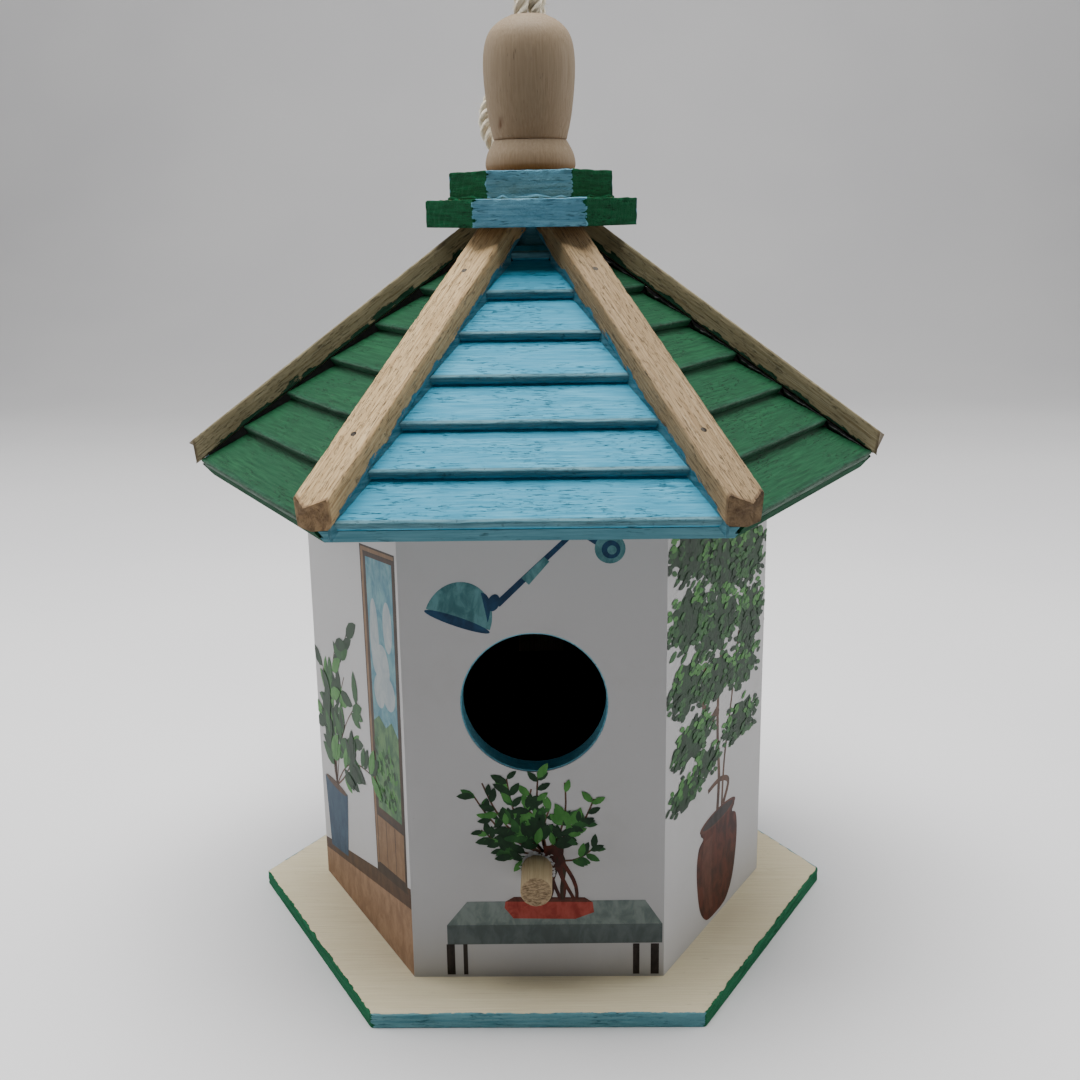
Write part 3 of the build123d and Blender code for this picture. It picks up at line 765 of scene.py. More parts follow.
def build_glue():
    """Dark glue in the channel under each batten, and glossy runs of it in the wedges of the right one."""
    verts, faces = [], []
    for angle in HIP_ANGLES.values():
        rows = []
        for i, radius in enumerate(np.linspace(14.0, 80.5, 60)):
            top = SEAT - 0.06 - radius * HIP_SLOPE
            half = MITRE_GAP - 0.35 + 0.12 * math.sin(i / 59 * 47 + angle)
            rows.append([(radius, across, height) for across, height in (
                (-half, top - FILL_DEPTH), (-half, top), (half, top), (half, top - FILL_DEPTH))])
        add_along_hip(verts, faces, rows, angle)
    bed = make_object("glue_bed", verts, faces, [GLUE_DULL])
    verts, faces = [], []
    for course in range(1, COURSES):
        rng = np.random.default_rng(40 + course)
        top = roof_point(course * EXPOSURE, NOSE_LIFT)
        upper = -top[0] / math.cos(TURN / 2) - 1.6
        lower = upper + 11.5 + rng.uniform(-1.2, 0.6)
        rows = []
        for f in np.linspace(0, 1, 40):
            radius = upper + f * (lower - upper)
            thick = 0.98 * (1 - f) ** 0.75 * math.sin(min(1, f * 9 + 0.15) * math.pi / 2) + 0.05
            thick *= 1 + 0.10 * math.sin(f * 17 + course) + 0.05 * math.sin(f * 41 + course)
            middle = SEAT - radius * HIP_SLOPE - thick * 1.1
            rows.append([(radius, -3.55 + 0.95 * thick * math.cos(q), middle + 1.15 * thick * math.sin(q))
                         for q in circle(16)])
        add_along_hip(verts, faces, rows, HIP_ANGLES["right"])
    piece = make_object("dried_glue", verts, faces, [GLUE])


build_glue()


def build_paint_fill():
    """Paint that fills the wedges between the battens and the slats, except on the glued right-hand one."""
    for name, material, inset, end in (("green", SLAT_GREEN, 1.3, 79.5), ("blue", SLAT_BLUE, 0.25, 83.2)):
        verts, faces, grain = [], [], []
        for hip, angle in HIP_ANGLES.items():
            for sign in (-1, 1):
                facet = facet_beside(angle, sign)
                if (facet in BLUE_FACETS) != (name == "blue") or (hip, facet) == ("right", "front_right"):
                    continue
                wave = ragged(80, 150, 1.2, 900 + angle + sign) * 0.06
                rows = []
                for i, radius in enumerate(np.linspace(16.0, end, 150)):
                    outer, inner = (BATTEN_HALF - inset + wave[i]) * sign, (BATTEN_HALF - inset - 0.8) * sign
                    top = SEAT + 0.02 - radius * HIP_SLOPE
                    section = [(radius, outer, top - FILL_DEPTH), (radius, outer, top),
                               (radius, inner, top), (radius, inner, top - FILL_DEPTH)]
                    rows.append(section if sign < 0 else section[::-1])
                    grain += [(radius + angle, v * 0.8, u) for _, u, v in rows[-1]]
                add_along_hip(verts, faces, rows, angle)
        # The fill takes the nose tones in part, as painted shade in the gaps
        fill = make_object("paint_fill_" + name, verts, faces, [material], grain=grain,
                           ridge=np.full(len(verts), PACKED_SHADE))


build_paint_fill()


def build_apex_plug():
    """Paint and glue packed between the heads of the slats and the cap."""
    top = CAP_BASE - 0.1
    profile = ((5.2, 166.5), (11.6, 166.5), (11.4, 169.0), (9.8, 170.6), (9.2, top), (5.2, top))
    q = circle(72)
    rings = []
    for n, (radius, level) in enumerate(profile):
        reach = radius * (1 + 0.07 * np.sin(5 * q + n) + 0.05 * np.sin(13 * q + 2 * n))
        rings.append(np.column_stack([reach * np.cos(q), reach * np.sin(q), np.full(len(q), level)]))
    rings = np.array(rings)
    places = rings.reshape(-1, 3)
    # The plug takes the nose tones in part, as painted shade under the cap
    plug = make_object("apex_plug", places, skin(rings, caps=False, closed=True), [SLAT_BLUE], grain=places,
                       ridge=np.full(len(places), PACKED_SHADE))


build_apex_plug()


# ---- plates: base and the two cap tiers ---------------------------------------------------------
def hexagon(radius, corner, step):
    """Outline points, outward directions, distance round the edge and how blue the edge is at each."""
    places, outs, facet = [], [], []
    reach = radius - corner / math.cos(TURN / 2)
    for k in range(6):
        angle = k * TURN
        middle = np.array([math.cos(angle), math.sin(angle)]) * reach
        arc = np.linspace(angle - TURN / 2, angle + TURN / 2, 6)
        for j, q in enumerate(arc):
            out = np.array([math.cos(q), math.sin(q)])
            places.append(middle + out * corner)
            outs.append(out)
            facet.append((k + (0 if j < 3 else 1)) % 6)
        after = np.array([math.cos(angle + TURN), math.sin(angle + TURN)]) * reach
        out = np.array([math.cos(angle + TURN / 2), math.sin(angle + TURN / 2)])
        count = int(np.linalg.norm(after - middle) / step)
        for f in np.linspace(0, 1, count + 1)[1:-1]:
            places.append(middle + (after - middle) * f + out * corner)
            outs.append(out)
            facet.append((k + 1) % 6)
    places = np.array(places)
    travel = np.concatenate([[0], np.cumsum(np.linalg.norm(np.diff(places, axis=0), axis=1))])
    blue = np.array([float(FACETS[(f + 1) % 6] in BLUE_FACETS) for f in facet])
    lap = min(2.0, radius * 0.06)
    total = travel[-1] + step
    apart = np.abs(travel[:, None] - travel[None, :])
    near = np.maximum(0, 1 - np.minimum(apart, total - apart) / lap)
    return places, np.array(outs), travel, near @ blue / near.sum(axis=1)


def build_plate(name, node, radius, low, high, corner, material, seed, bore=0.01, step=0.7, wild=0.10):
    """A hexagonal plate with rounded corners, rough edges and paint that stands up along its top arris."""
    places, outs, travel, blue = hexagon(radius, corner, step)
    count = len(places)
    around = travel[-1] + step
    ridge = np.clip(0.4 + 0.5 * ragged(around, count, 1.6, seed), 0, 1.6)
    deep = ragged(around, count, 5.0, seed + 1) * 0.5 + ragged(around, count, 1.2, seed + 2) * 0.5
    # How far each ring is cut back from the edge, its level, roughness and share of the raised paint.
    profile = [(radius * 0.4, low, 0, 0), (3.0, low, 0, 0), (0.8, low, 0, 0), (0.25, low, 0, 0),
               (0.06, low + 0.10, 0.3, 0)]
    profile += [(0.0, low + 0.35 + f * (high - low - 0.7), 1.0, 0) for f in np.linspace(0, 1, 6)]
    profile += [(0.05, high - 0.12, 0.7, 0.2), (0.28, high - 0.02, 0.3, 0.8), (0.6, high, 0, 0.5),
                (1.1, high, 0, 0.1), (2.2, high, 0, 0), (5.0, high, 0, 0), (radius * 0.4, high, 0, 0)]
    rings, grain, inset, track = [], [], [], []
    for n, (cut, level, shake, raised) in enumerate(profile):
        wave = np.interp((np.arange(count) + 7 * n) % count, np.arange(count), deep)
        if cut > 0.8 * corner:
            moved = places * (1 - cut / (radius * math.cos(TURN / 2)))
        else:
            moved = places - outs * (cut + wild * shake * np.abs(wave))[:, None]
        heights = level + wild * 1.2 * raised * ridge - (wild if raised else 0) * 0.2
        heights = np.clip(heights, low, high + 0.15)
        ring = np.column_stack([moved, np.broadcast_to(heights, count)])
        if cut > 5.0:
            ring[:, :2] = places * 0.45
        rings.append(ring)
        grain += ring.tolist()
        inset += [cut if cut > 0.1 else 0.0] * count
        track += np.column_stack([travel, ring[:, 2], np.full(count, n * 0.1)]).tolist()
    for level in (high, low):
        q = np.arctan2(places[:, 1], places[:, 0])
        ring = np.column_stack([np.cos(q) * bore, np.sin(q) * bore, np.full(count, level)])
        rings.append(ring)
        grain += ring.tolist()
        inset += [20.0] * count
        track += np.column_stack([travel, ring[:, 2], ring[:, 2]]).tolist()
    rings = np.array(rings)
    piece = make_object(name, rings.reshape(-1, 3), skin(rings, caps=False, closed=True), [material],
                        grain=grain, inset=inset, around=track, tint=np.tile(blue, len(rings)), sharp=60)
    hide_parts(node)
    return piece


BASE_TOP = span("base_plate", 2)[1]
CAP_MIDDLE, CAP_TOP = span("cap_upper", 2)
BASE_CORNER, LOWER_CORNER, UPPER_CORNER = 74.6, 25.2, 19.4    # radii to the corners
CAP_ROUND = 0.6
FINIAL_BORE = 3.8
BASE_WOOD = edged_look("base_wood", ("8d7a5c", "d3c6a6", "dacead", "e1d6b8"), BASE_BLUE, BASE_GREEN, 0.45)
CAP_WOOD = edged_look("cap_wood", ("3b2c1d", "86704f", "96805f", "a8916f"), CAP_BLUE, CAP_GREEN, 0.9)
build_plate("base", "base_plate", BASE_CORNER, 0.0, BASE_TOP, 1.2, BASE_WOOD, 61, wild=0.14)
build_plate("cap_tier_lower", "cap_lower", LOWER_CORNER, CAP_BASE, CAP_MIDDLE, CAP_ROUND, CAP_WOOD, 71,
                    FINIAL_BORE, 0.4, 0.2)
build_plate("cap_tier_upper", "cap_upper", UPPER_CORNER, CAP_MIDDLE, CAP_TOP, CAP_ROUND, CAP_WOOD, 81,
                    FINIAL_BORE, 0.4, 0.2)


def build_bead():
    """Paint gathered in the corner between the two cap tiers."""
    sides = 8
    places, outs, travel, blue = hexagon(UPPER_CORNER, CAP_ROUND, 0.35)
    count = len(places)
    size = 0.42 * np.clip(0.75 + 0.4 * ragged(travel[-1] + 1, count, 1.8, 91), 0.25, 1.6)
    rings = []
    for q in circle(sides):
        out = places + outs * (size * math.cos(q) * 1.1)[:, None]
        rings.append(np.column_stack([out, CAP_MIDDLE + size * (0.75 + 0.8 * math.sin(q))]))
    rings = np.array(rings)
    grain = rings.reshape(-1, 3)
    track = np.tile(np.column_stack([travel, np.zeros(count), np.zeros(count)]), (sides, 1))
    piece = make_object("cap_paint_bead", grain, skin(rings, caps=False, closed=True), [CAP_WOOD], grain=grain,
                        inset=np.zeros(sides * count), around=track, tint=np.tile(blue, sides))


build_bead()


# ---- finial and perch ---------------------------------------------------------------------------
def turned_look(name, tones):
    """Turned wood, brown in its painted shade and its dark mark, and with open pores on a sawn end."""
    look = Look(name)
    grain = look.attribute("grain")
    tone, relief, gloss = wooden(look, grain, tones, 0.67)
    end = look.attribute("end", "Fac")
    spots = look.noise(grain, (0.05, 0.9, 3.4), 4, 0.7, 0.6)
    sawn = look.mix(look.band(spots, 0.35, 0.62), srgb("5a4833"), srgb("a08a6a"))
    # Brown where painted shade darkens the foot and crease, and on the dark mark
    tone = look.mix(look.attribute("dirt", "Fac"), look.mix(end, tone, sawn), srgb("5b3f27"))
    return look.finish(tone, gloss, look.plus(relief, look.times(end, spots)), 0.10)


def build_finial():
    """A ring and a rounded bell over it, as (radius, height) from the cap's top, with painted shade at the foot
    and in the crease between them, and a dark mark on the bell.
    """
    ring = smooth_profile([(10.1, 0), (10.6, 1.6), (10.1, 4.2), (8.6, 7.0)])
    body = smooth_profile([(8.6, 7.3), (9.8, 13.0), (10.6, 21.0), (10.45, 26.8), (9.3, 30.6), (7.0, 33.0),
                           (4.2, 34.45)])
    rim = [(FINIAL_BORE, 34.35), (FINIAL_BORE, 20.0), (FINIAL_BORE, 0.0)]
    crease = 7.15
    profile = [(FINIAL_BORE, 0.0)] + ring + [(8.35, crease)] + body + rim
    dent_angle, dent_height = 3.93, 10.6
    count = 96
    q = circle(count)
    rings, grain, dirt = [], [], []
    for radius, height in profile:
        x, y = radius * np.cos(q), radius * np.sin(q)
        rings.append(np.column_stack([x, y, np.full(count, CAP_TOP + height)]))
        grain += np.column_stack([np.full(count, height), x, y]).tolist()
        # Painted shade at the foot and in the crease, and a dark diagonal mark at the dent
        low = math.exp(-(height / 0.9) ** 2) * 0.45 + math.exp(-((height - crease) / 0.25) ** 2) * 0.35
        aside = (q - dent_angle) * radius
        mark = np.exp(-(aside ** 2 / 0.35 + (height - dent_height - aside) ** 2 / 0.7))
        dirt += np.clip(low + 1.6 * mark, 0, 0.95).tolist()
    rings = np.array(rings)
    piece = make_object("finial_turned", rings.reshape(-1, 3), skin(rings, caps=False), [FINIAL_WOOD],
                        grain=grain, dirt=dirt, end=np.zeros(len(grain)), sharp=50)
    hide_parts("finial")


FINIAL_WOOD = turned_look("finial_wood", ("3a2b1e", "796852", "7f6e58", "877660"))
build_finial()

PAPER_OUT = -span("wall_paper_front", 1)[0]
PERCH_FRONT, PERCH_BACK = [-y for y in span("perch", 1)]
PERCH_HEIGHT, PERCH_RADIUS = 31.4, 3.5


def build_perch():
    """The dowel with its sawn end, and scraps of torn paper round it."""
    count = 48
    reach = PERCH_FRONT - PERCH_BACK
    profile = [(0.01, 0, 0), (PERCH_RADIUS, 0, 0), (PERCH_RADIUS, 4, 0), (PERCH_RADIUS, reach - 2, 0),
               (PERCH_RADIUS, reach - 0.35, 0), (3.38, reach - 0.1, 0.7), (3.1, reach, 1),
               (2.0, reach - 0.05, 1), (1.0, reach, 1), (0.01, reach - 0.05, 1)]
    rough = ragged(22, count, 0.8, 33)
    q = circle(count)
    rings, grain, end = [], [], []
    for radius, far, sawn in profile:
        r = radius * (1 + (0.012 * rough if radius > 3 and sawn else 0))
        x, z = r * np.cos(q), r * np.sin(q)
        rings.append(np.column_stack([x, np.full(count, -PERCH_BACK - far), PERCH_HEIGHT + z]))
        grain += np.column_stack([np.full(count, far), x, z]).tolist()
        end += [float(sawn)] * count
    rings = np.array(rings)
    piece = make_object("perch_dowel", rings.reshape(-1, 3), skin(rings, caps=False), [PERCH_WOOD],
                        grain=grain, end=end, dirt=np.zeros(len(end)), sharp=50)
    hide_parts("perch")
    rng = np.random.default_rng(17)
    verts, faces = [], []
    for _ in range(150):
        q = rng.uniform(0, 2 * math.pi)
        near = PERCH_RADIUS - 0.05 + abs(rng.normal(0, 0.35))
        middle = np.array([near * math.cos(q), -PAPER_OUT - rng.uniform(0.02, 0.5),
                           PERCH_HEIGHT + near * math.sin(q)])
        size = rng.uniform(0.15, 0.6)
        first = len(verts)
        tilt = rng.standard_normal(3) * 0.35
        for k in range(5):
            a = q + k / 5 * 2 * math.pi
            spot = np.array([math.cos(a), tilt[0] * math.cos(a) + tilt[1] * math.sin(a), math.sin(a)])
            verts.append((middle + spot * size * rng.uniform(0.4, 1.0)).tolist())
        faces.append(tuple(range(first, first + 5)))
    scraps = make_object("torn_paper", verts, faces, [PAPER], smooth=False)


PERCH_WOOD = turned_look("perch_wood", ("3a2b1e", "93805f", "a28e6c", "b7a482"))
build_perch()

# ---- plain CAD pieces that keep their shape -----------------------------------------------------
def repaint(node, material):
    nodes[node].data.materials.clear()
    nodes[node].data.materials.append(material)


WALL = wall_look()
for facet in FACETS:
    turn = FACETS.index(facet) * TURN
    blue = facet in BLUE_FACETS
    # The backing boards and eave strips take the darker nose tones, as painted shade on the eave band
    board = paint_on_board("board_" + facet, SHADED_NOSE_BLUE if blue else SHADED_NOSE_GREEN, turn)
    for name, material in (("wall_", WALL), ("wall_paper_", PAPER), ("roof_backing_", board),
                           ("eave_strip_", board)):
        repaint(name + facet, material)
UPRIGHT = wood_along("block_wood", PALE_WOOD, (2, 0, 1))
COVER = paint_on_board("cover_paint", GREEN, math.pi)
for name, material in (("apex_block", UPRIGHT), ("pivot_block", UPRIGHT), ("cleanout_cover", COVER),
                       ("cover_screw", ZINC), ("base_pins", ZINC), ("batten_pins", DARK_STEEL)):
    repaint(name, material)


# ---- printed art: plain generic shapes ----------------------------------------------------------
def ink(name, first, second):
    """A printed wash that wanders between two tones."""
    look = Look("ink_" + name, Roughness=0.5, Specular_IOR_Level=0.15)
    vector = look.place()
    wash = look.noise(vector, (0.35, 0.35, 0.35 * 0.6), 5, 0.62, 0.5)
    tone = look.mix(look.band(wash, 0.34, 0.66), srgb(first), srgb(second))
    return look.finish(tone, None, look.noise(vector, (3, 3, 3), 2), 0.01)


INKS = {}
for name, first, second in (
    ("leaf_dark", "0e2915", "173a1d"), ("leaf_mid", "1d4722", "2b5b28"), ("leaf_light", "34692c", "487f3c"),
    ("stem", "3f2b20", "593e2e"), ("clay", "311611", "52271c"), ("clay_light", "41221a", "593429"),
    ("tray", "7d2d25", "9c453c"), ("table", "5b6764", "76817c"), ("table_edge", "4c5453", "5a6363"),
    ("leg", "201b1a", "342d2b"), ("lamp", "335d61", "558386"), ("lamp_dark", "102c45", "1b3f5b"),
    ("frame", "2b1e13", "392b1e"), ("frame_dark", "312115", "402d1e"), ("sky", "437181", "689095"),
    ("cloud", "889498", "9ba1a2"), ("hill", "30543a", "55784b"), ("pot_blue", "1a344a", "2a4558"),
    ("floor", "765943", "8c6f56"), ("floor_dark", "3b281c", "4e3725"), ("board", "6b4f35", "7b5f44"),
):
    INKS[name] = ink(name, first, second)
INK_NAMES = list(INKS)


PRINT_LIFT, PRINT_STEP = 0.02, 0.0018    # how far prints stand off the paper, and off each other
PRINT_HALF = 28.9
LEAF_LEVEL, LEAF_LEVELS = 6, 90


class Print:
    """Flat shapes on one wall's paper: u to the right as seen from outside, and z."""

    def __init__(self, facet):
        self.facet = facet
        self.verts, self.faces, self.layer = [], [], []
        self.level = 0
        self.count = 0

    def shape(self, colour, outline, level=None):
        """One filled outline, over the shapes before it unless its level is given."""
        lift = PRINT_LIFT + PRINT_STEP * (self.level if level is None else level)
        self.level += level is None
        first = len(self.verts)
        points = [(min(max(u, -PRINT_HALF), PRINT_HALF), z) for u, z in outline]
        self.verts += [(u, -PAPER_OUT - lift, z) for u, z in points]
        flat = [Vector((u, z, 0)) for u, z in points]
        for tri in tessellate_polygon([flat]):
            a, b, c = tri
            area = (flat[b] - flat[a]).cross(flat[c] - flat[a]).z
            order = (a, b, c) if area > 0 else (a, c, b)
            self.faces.append(tuple(first + i for i in order))
            self.layer.append(INK_NAMES.index(colour))

    def stroke(self, colour, path, width, level=None):
        path = np.array(path, float)
        ahead = np.gradient(path, axis=0)
        ahead /= np.linalg.norm(ahead, axis=1)[:, None]
        across = np.stack([-ahead[:, 1], ahead[:, 0]], axis=1)
        widths = np.linspace(width, width * 0.7, len(path))[:, None] / 2
        left, right = path + across * widths, path - across * widths
        self.shape(colour, left.tolist() + right[::-1].tolist(), level)

    def oval(self, colour, u, z, ru, rz, level=None, tilt=0.0, arc=(0, 360)):
        """An ellipse, or the part of one between two angles in degrees."""
        q = np.radians(np.linspace(arc[0], arc[1], 28, endpoint=arc[1] - arc[0] < 360))
        a, b = ru * np.cos(q), rz * np.sin(q)
        c, s = math.cos(tilt), math.sin(tilt)
        self.shape(colour, np.column_stack([u + a * c - b * s, z + a * s + b * c]).tolist(), level)

    def leaf(self, colour, u, z, long, wide, angle, level=None):
        """A leaf that grows from u, z, on the next of the leaves' levels unless its own is given."""
        if level is None:
            self.count = (self.count + 1) % LEAF_LEVELS
            level = LEAF_LEVEL + self.count
        f = np.array([0, 0.2, 0.5, 0.8, 1.0, 0.8, 0.5, 0.2]) * long
        g = np.array([0, 0.38, 0.5, 0.3, 0, -0.3, -0.5, -0.38]) * wide
        c, s = math.cos(angle), math.sin(angle)
        self.shape(colour, np.column_stack([u + f * c - g * s, z + f * s + g * c]).tolist(), level)

    def spray(self, rng, start, end, bend, leaves, long, wide):
        """A twig from start to end with leaves along it."""
        a, b = np.array(start, float), np.array(end, float)
        side = np.array([-(b - a)[1], (b - a)[0]]) * bend
        path = [a + (b - a) * f + side * math.sin(f * math.pi) for f in np.linspace(0, 1, 9)]
        self.stroke("stem", path, 0.55, level=2)
        path = np.array(path)
        for _ in range(leaves):
            f = rng.uniform(0.25, 1.0) * 8
            i = min(int(f), 7)
            spot = path[i] + (path[i + 1] - path[i]) * (f - i)
            way = math.atan2(*(path[i + 1] - path[i])[::-1]) + rng.choice([-1, 1]) * rng.uniform(0.3, 1.2)
            tone = rng.choice(["leaf_dark", "leaf_dark", "leaf_mid", "leaf_light"])
            size = rng.uniform(0.75, 1.2)
            self.leaf(tone, *spot, long * size, wide * size, way)

    def cloud_of_leaves(self, rng, u, z, ru, rz, count, size):
        """A dark lobed mass with leaves over it, lighter at its top."""
        q = circle(40)
        lobes = 0.86 + 0.10 * np.sin(7 * q + u) + 0.06 * np.sin(13 * q + z)
        self.shape("leaf_dark", np.column_stack([u + ru * lobes * np.cos(q),
                                                 z + rz * lobes * np.sin(q)]).tolist(), LEAF_LEVEL - 2)
        for _ in range(count):
            q, r = rng.uniform(0, 2 * math.pi), math.sqrt(rng.uniform(0, 1))
            a, b = u + ru * r * math.cos(q), z + rz * r * math.sin(q)
            lit = b > z + rz * 0.25 and rng.random() < 0.6
            tone = "leaf_light" if lit else rng.choice(["leaf_dark", "leaf_mid"])
            way = rng.uniform(-0.5, 0.5) + (0 if math.cos(q) > 0 else math.pi)
            self.leaf(tone, a, b, size * rng.uniform(0.8, 1.4), size * 0.5, way)

    def finish(self):
        places = turned(self.verts, FACETS.index(self.facet) * TURN)
        piece = make_object("print_" + self.facet, places, self.faces, list(INKS.values()), layer=self.layer,
                            smooth=False)


def print_front():
    """A wall lamp and a tree with bare roots in a tray, on a low table."""
    p = Print("front")
    rng = np.random.default_rng(21)
    p.stroke("lamp_dark", [(-7.6, 94.2), (0.5, 102.0), (9.6, 110.6)], 1.5)
    p.stroke("lamp", [(-1.5, 99.3), (3.2, 104.2)], 2.2)
    p.stroke("lamp_dark", [(11.0, 110.0), (16.4, 106.2)], 1.8)
    p.oval("lamp", 16.7, 106.4, 3.3, 3.3)
    p.oval("lamp_dark", 16.9, 106.2, 2.0, 2.0)
    p.oval("lamp", 17.1, 106.1, 1.0, 1.0)
    tilt = math.radians(-20)
    p.oval("lamp", -16.2, 90.9, 7.3, 8.6, tilt=tilt, arc=(0, 180))
    p.oval("lamp_dark", -12.6, 91.2, 3.0, 6.0, tilt=tilt, arc=(0, 100))
    p.oval("lamp_dark", -16.4, 90.4, 7.5, 1.1, tilt=tilt)
    p.oval("lamp_dark", -8.4, 94.6, 1.3, 2.0, tilt=tilt)
    p.shape("table", [(-16.2, 23.0), (24.6, 23.3), (28.6, 17.2), (-21.0, 17.0)])
    p.shape("table_edge", [(-21.0, 17.0), (28.6, 17.2), (28.6, 12.3), (-21.0, 12.0)])
    for u, width in ((-20.3, 1.9), (-16.9, 1.0), (22.6, 1.5), (26.9, 1.9)):
        left, right = u - width / 2, u + width / 2
        p.shape("leg", [(left, 12.1), (right, 12.1), (right, 4.2), (left, 4.2)])
    p.shape("tray", [(-7.6, 21.4), (-5.6, 18.7), (8.6, 18.5), (12.9, 20.2), (12.6, 22.8), (-7.4, 23.0)])
    p.shape("clay_light", [(-7.4, 23.0), (12.6, 22.8), (10.8, 24.0), (-5.4, 24.2)])
    for n in range(9):
        head, foot = 2.4 + n * 0.35, 0.4 + n * 1.05
        path = [(head + 0.9 * math.sin(f * 5 + n * 2.1) + (foot - head) * f, 37.0 - f * 13.6)
                for f in np.linspace(0, 1, 9)]
        p.stroke("clay" if n % 3 else "frame", path, 1.1)
    for end, bend in (((-14.0, 49.5), 0.1), ((-9.5, 44.0), -0.1), ((-6.5, 53.5), 0.1), ((0.5, 54.0), 0.05),
                      ((6.5, 52.5), -0.1), ((13.0, 48.5), -0.1), ((10.5, 43.5), 0.1), ((-8.0, 36.5), 0.2),
                      ((13.0, 36.5), -0.2), ((-12.5, 41.0), 0.1), ((3.0, 46.0), 0.1), ((-3.0, 47.5), -0.1),
                      ((-12.0, 52.5), 0.1), ((-5.0, 40.5), -0.1), ((7.5, 40.0), 0.1), ((-1.0, 51.0), 0.15)):
        p.spray(rng, (2.2, 34.5), end, bend, 12, 3.7, 1.7)
    p.finish()


def print_front_left():
    """A garden door, a wooden floor and a leafy plant in a blue pot."""
    p = Print("front_left")
    rng = np.random.default_rng(22)
    p.shape("floor", [(-28.9, 3.7), (28.9, 3.7), (28.9, 23.3), (-28.9, 11.7)])
    p.shape("floor_dark", [(-28.9, 11.0), (28.9, 21.0), (28.9, 26.2), (-28.9, 14.0)])
    p.shape("frame", [(7.1, 103.4), (27.8, 105.0), (27.1, 23.9), (8.6, 21.5)])
    p.shape("board", [(7.7, 102.9), (9.1, 103.0), (10.0, 24.2), (8.9, 24.0)])
    p.shape("board", [(7.9, 103.0), (27.2, 104.5), (27.2, 103.7), (9.3, 102.2)])
    p.shape("frame_dark", [(9.4, 101.9), (26.8, 103.4), (26.2, 39.4), (10.6, 38.0)])
    p.shape("sky", [(10.5, 101.1), (25.9, 102.4), (25.4, 40.8), (11.5, 39.6)])
    for u, z, ru, rz in ((14, 83, 2.6, 9), (18, 76, 4.2, 6), (22, 87, 2.6, 6), (15.5, 70, 3.2, 4),
                         (21, 71, 3.8, 4)):
        p.oval("cloud", u, z, ru, rz)
    p.shape("hill", [(11.1, 61.5), (14.5, 63.8), (18.5, 62.0), (22.0, 64.5), (25.6, 61.8), (25.4, 40.8),
                     (11.5, 39.6)])
    for _ in range(90):
        tone = rng.choice(["leaf_dark", "leaf_mid", "leaf_light"])
        p.leaf(tone, rng.uniform(11.8, 22.6), rng.uniform(41, 56), 2.6, 1.1, rng.uniform(0.3, 2.8),
               12 + int(rng.integers(8)))
    p.shape("board", [(10.3, 37.0), (26.2, 38.4), (26.0, 26.4), (10.3, 24.6)])
    p.stroke("frame_dark", [(15.6, 37.2), (15.6, 25.2)], 0.4)
    p.stroke("frame_dark", [(20.9, 37.8), (20.9, 25.8)], 0.4)
    p.shape("pot_blue", [(-26.4, 33.0), (-10.0, 33.6), (-12.0, 15.6), (-24.4, 13.6)], level=26)
    p.oval("floor_dark", -18.2, 33.2, 7.6, 1.0, level=27)
    for end, bend in (((-4.8, 78.0), 0.12), ((-24.5, 66.0), -0.1), ((-13.0, 73.5), 0.1), ((0.5, 62.0), 0.1),
                      ((8.4, 46.0), 0.15), ((-25.5, 52.0), -0.1), ((-18.5, 58.0), 0.1), ((-3.0, 52.0), -0.1),
                      ((-8.0, 66.0), 0.1)):
        p.spray(rng, (-17.5, 33.5), end, bend, 12, 7.6, 3.3)
    p.finish()


def urn(p, u, z, wide, tall):
    """A tall clay jar with a rim, seen a little from above."""
    outline = smooth_profile([(0.10, 0.0), (0.25, 0.03), (0.39, 0.17), (0.47, 0.40), (0.50, 0.66), (0.46, 0.84),
                              (0.36, 0.90), (0.41, 0.95), (0.43, 1.0)], 5)
    sides = [(u + x * wide, z + y * tall) for x, y in outline]
    p.shape("clay", sides + [(u - x * wide, z + y * tall) for x, y in outline[::-1]])
    glow = [(x, y) for x, y in outline if 0.08 < y < 0.86]
    p.shape("clay_light", [(u - 0.28 * x * wide, z + y * tall) for x, y in glow]
            + [(u - 0.74 * x * wide, z + y * tall) for x, y in glow[::-1]])
    p.oval("clay_light", u, z + tall, wide * 0.44, tall * 0.075)
    p.oval("leg", u, z + tall, wide * 0.37, tall * 0.055)


def print_tree(facet, seed, lean):
    """A tall tree in a jar, mirrored where lean is -1."""
    p = Print(facet)
    rng = np.random.default_rng(seed)
    for path, width in (
        ([(0.5, 29.0), (1.5, 41.0), (0.0, 55.0), (0.5, 70.0), (4.0, 84.0), (-1.0, 98.0)], 1.7),
        ([(3.5, 29.0), (4.5, 44.0), (8.0, 58.0), (12.0, 76.0)], 1.2),
        ([(4.5, 33.0), (7.5, 38.0), (2.0, 40.5), (-5.0, 40.0)], 1.7),
        ([(0.5, 60.0), (-5.0, 58.5), (-9.0, 65.0), (-8.0, 74.0)], 2.3),
        ([(10.0, 92.0), (15.0, 99.0), (20.0, 101.0)], 1.1),
    ):
        p.stroke("stem", smooth_profile([(u * lean, z) for u, z in path], 6), width)
    for u, z, ru, rz in ((-14, 103, 14, 8), (3, 97, 13, 9.5), (18, 95, 10, 9), (-17, 87, 11, 8),
                         (-1, 82, 13, 8), (19, 78, 9, 9), (-18, 71, 10, 7), (0, 68, 11, 6), (16, 66, 9, 6),
                         (-15, 57, 12, 5.5), (14, 52, 11, 5.5), (-18, 45, 9, 4.5), (-6, 48, 7, 4)):
        p.cloud_of_leaves(rng, u * lean, z, ru, rz, int(ru * rz * 1.1), 2.7)
    urn(p, 1.5, 4.6, 25.0, 26.5)
    p.finish()


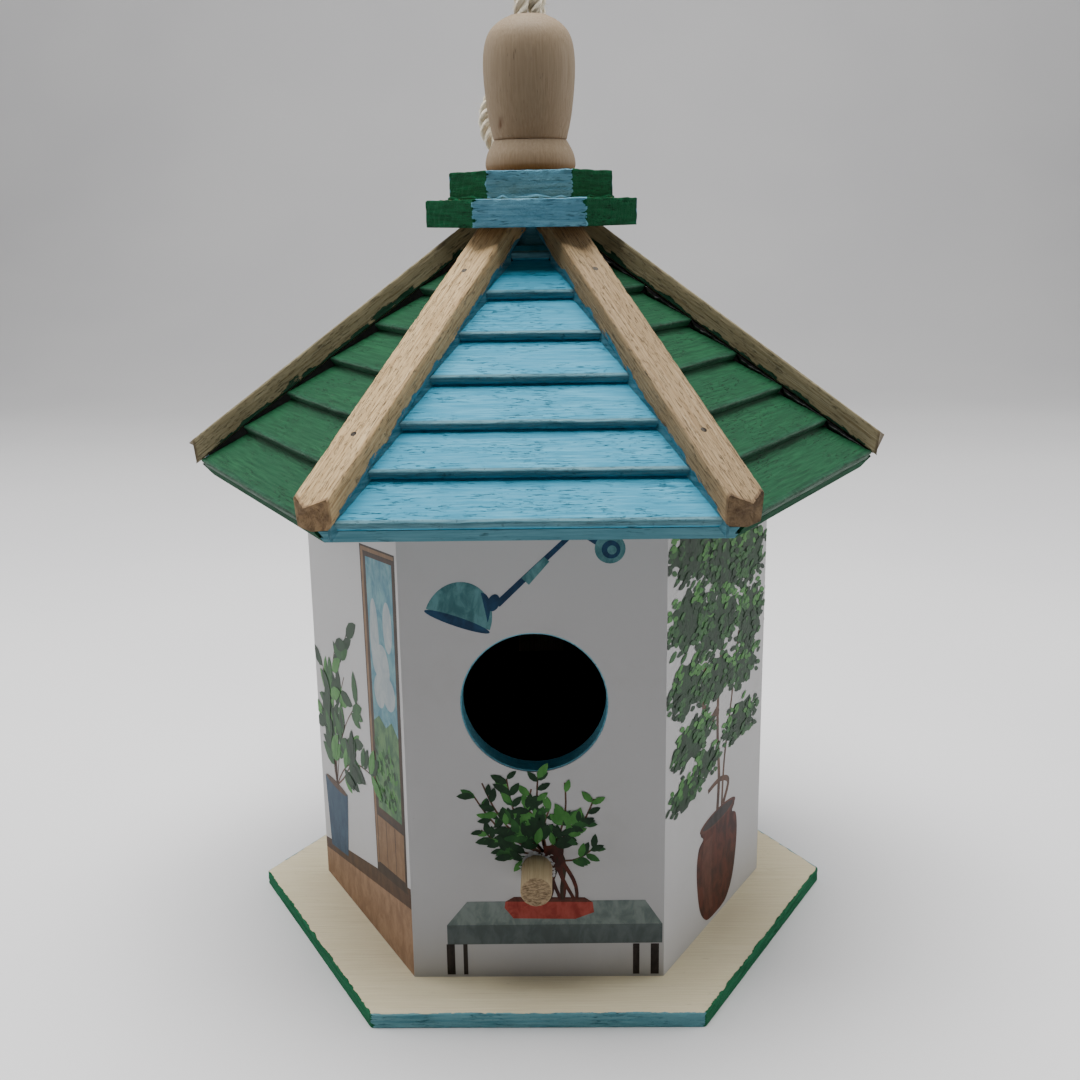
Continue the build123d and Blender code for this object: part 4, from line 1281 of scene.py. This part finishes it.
def print_shelf():
    """The unseen back-left wall: a plain shelf with two pots."""
    p = Print("back_left")
    rng = np.random.default_rng(24)
    for level in (40.0, 78.0):
        p.shape("frame", [(-24, level), (24, level), (24, level + 2.4), (-24, level + 2.4)])
        for u in (-12.0, 12.0):
            p.shape("pot_blue" if u < 0 else "clay", [(u - 5, level + 2.4), (u + 5, level + 2.4),
                                                      (u + 6, level + 13), (u - 6, level + 13)])
            for end in ((-8, 26), (-3, 30), (4, 29), (8, 24)):
                p.spray(rng, (u, level + 13), (u + end[0], level + end[1]), 0.1, 9, 4.2, 1.9)
    p.finish()


print_front()
print_front_left()
print_tree("front_right", 23, 1.0)
print_tree("back_right", 25, -1.0)
print_shelf()


# ---- stage --------------------------------------------------------------------------------------
def add_stage():
    """A paper sweep in metres, a dim world and four soft lamps, of which one only lights the sweep."""
    look = Look("backdrop_paper", Roughness=0.75)
    cloud = look.noise(look.place(), 0.004, 2)
    tone = look.mix(look.band(cloud, 0.3, 0.7), srgb("d8d7d8"), srgb("dddcdc"))
    look.put(look.shader.inputs["Base Color"], tone)
    reach, bend_from, bend = 3.0, 0.9, 0.8
    profile = [(-reach, 0.0), (bend_from, 0.0)]
    profile += [(bend_from + bend * math.sin(q), bend - bend * math.cos(q))
                for q in np.linspace(0, math.pi / 2, 24)]
    profile += [(bend_from + bend, reach)]
    verts = [(x, y, z) for y, z in profile for x in (-reach, reach)]
    faces = [(2 * i, 2 * i + 1, 2 * i + 3, 2 * i + 2) for i in range(len(profile) - 1)]
    mesh = bpy.data.meshes.new("backdrop")
    mesh.from_pydata(verts, [], faces)
    mesh.materials.append(look.material)
    mesh.shade_smooth()
    backdrop = bpy.data.objects.new("backdrop", mesh)
    bpy.context.collection.objects.link(backdrop)
    world = bpy.data.worlds.new("studio")
    world.use_nodes = True
    world.node_tree.nodes["Background"].inputs["Color"].default_value = (0.93, 0.96, 1.0, 1)
    world.node_tree.nodes["Background"].inputs["Strength"].default_value = 0.078
    bpy.context.scene.world = world
    for name, place, aim, size, power in (
        ("overhead", (-0.035, 0.02, 0.78), (0, 0.02, 0), (0.55, 0.55), 13.0),
        ("left", (-0.95, 0.28, 0.42), (0, 0, 0.1), (0.6, 0.6), 6.0),
        ("right", (0.95, 0.28, 0.42), (0, 0, 0.1), (0.6, 0.6), 6.0),
        ("backdrop", (0.0, 1.05, 1.0), (0, 1.7, 0.6), (2.6, 0.4), 7.0),
    ):
        data = bpy.data.lights.new(name, "AREA")
        data.shape = "RECTANGLE"
        data.size, data.size_y = size
        data.energy = power
        lamp = bpy.data.objects.new(name, data)
        bpy.context.collection.objects.link(lamp)
        lamp.location = place
        lamp.rotation_euler = (Vector(aim) - Vector(place)).to_track_quat("-Z", "Y").to_euler()


add_stage()
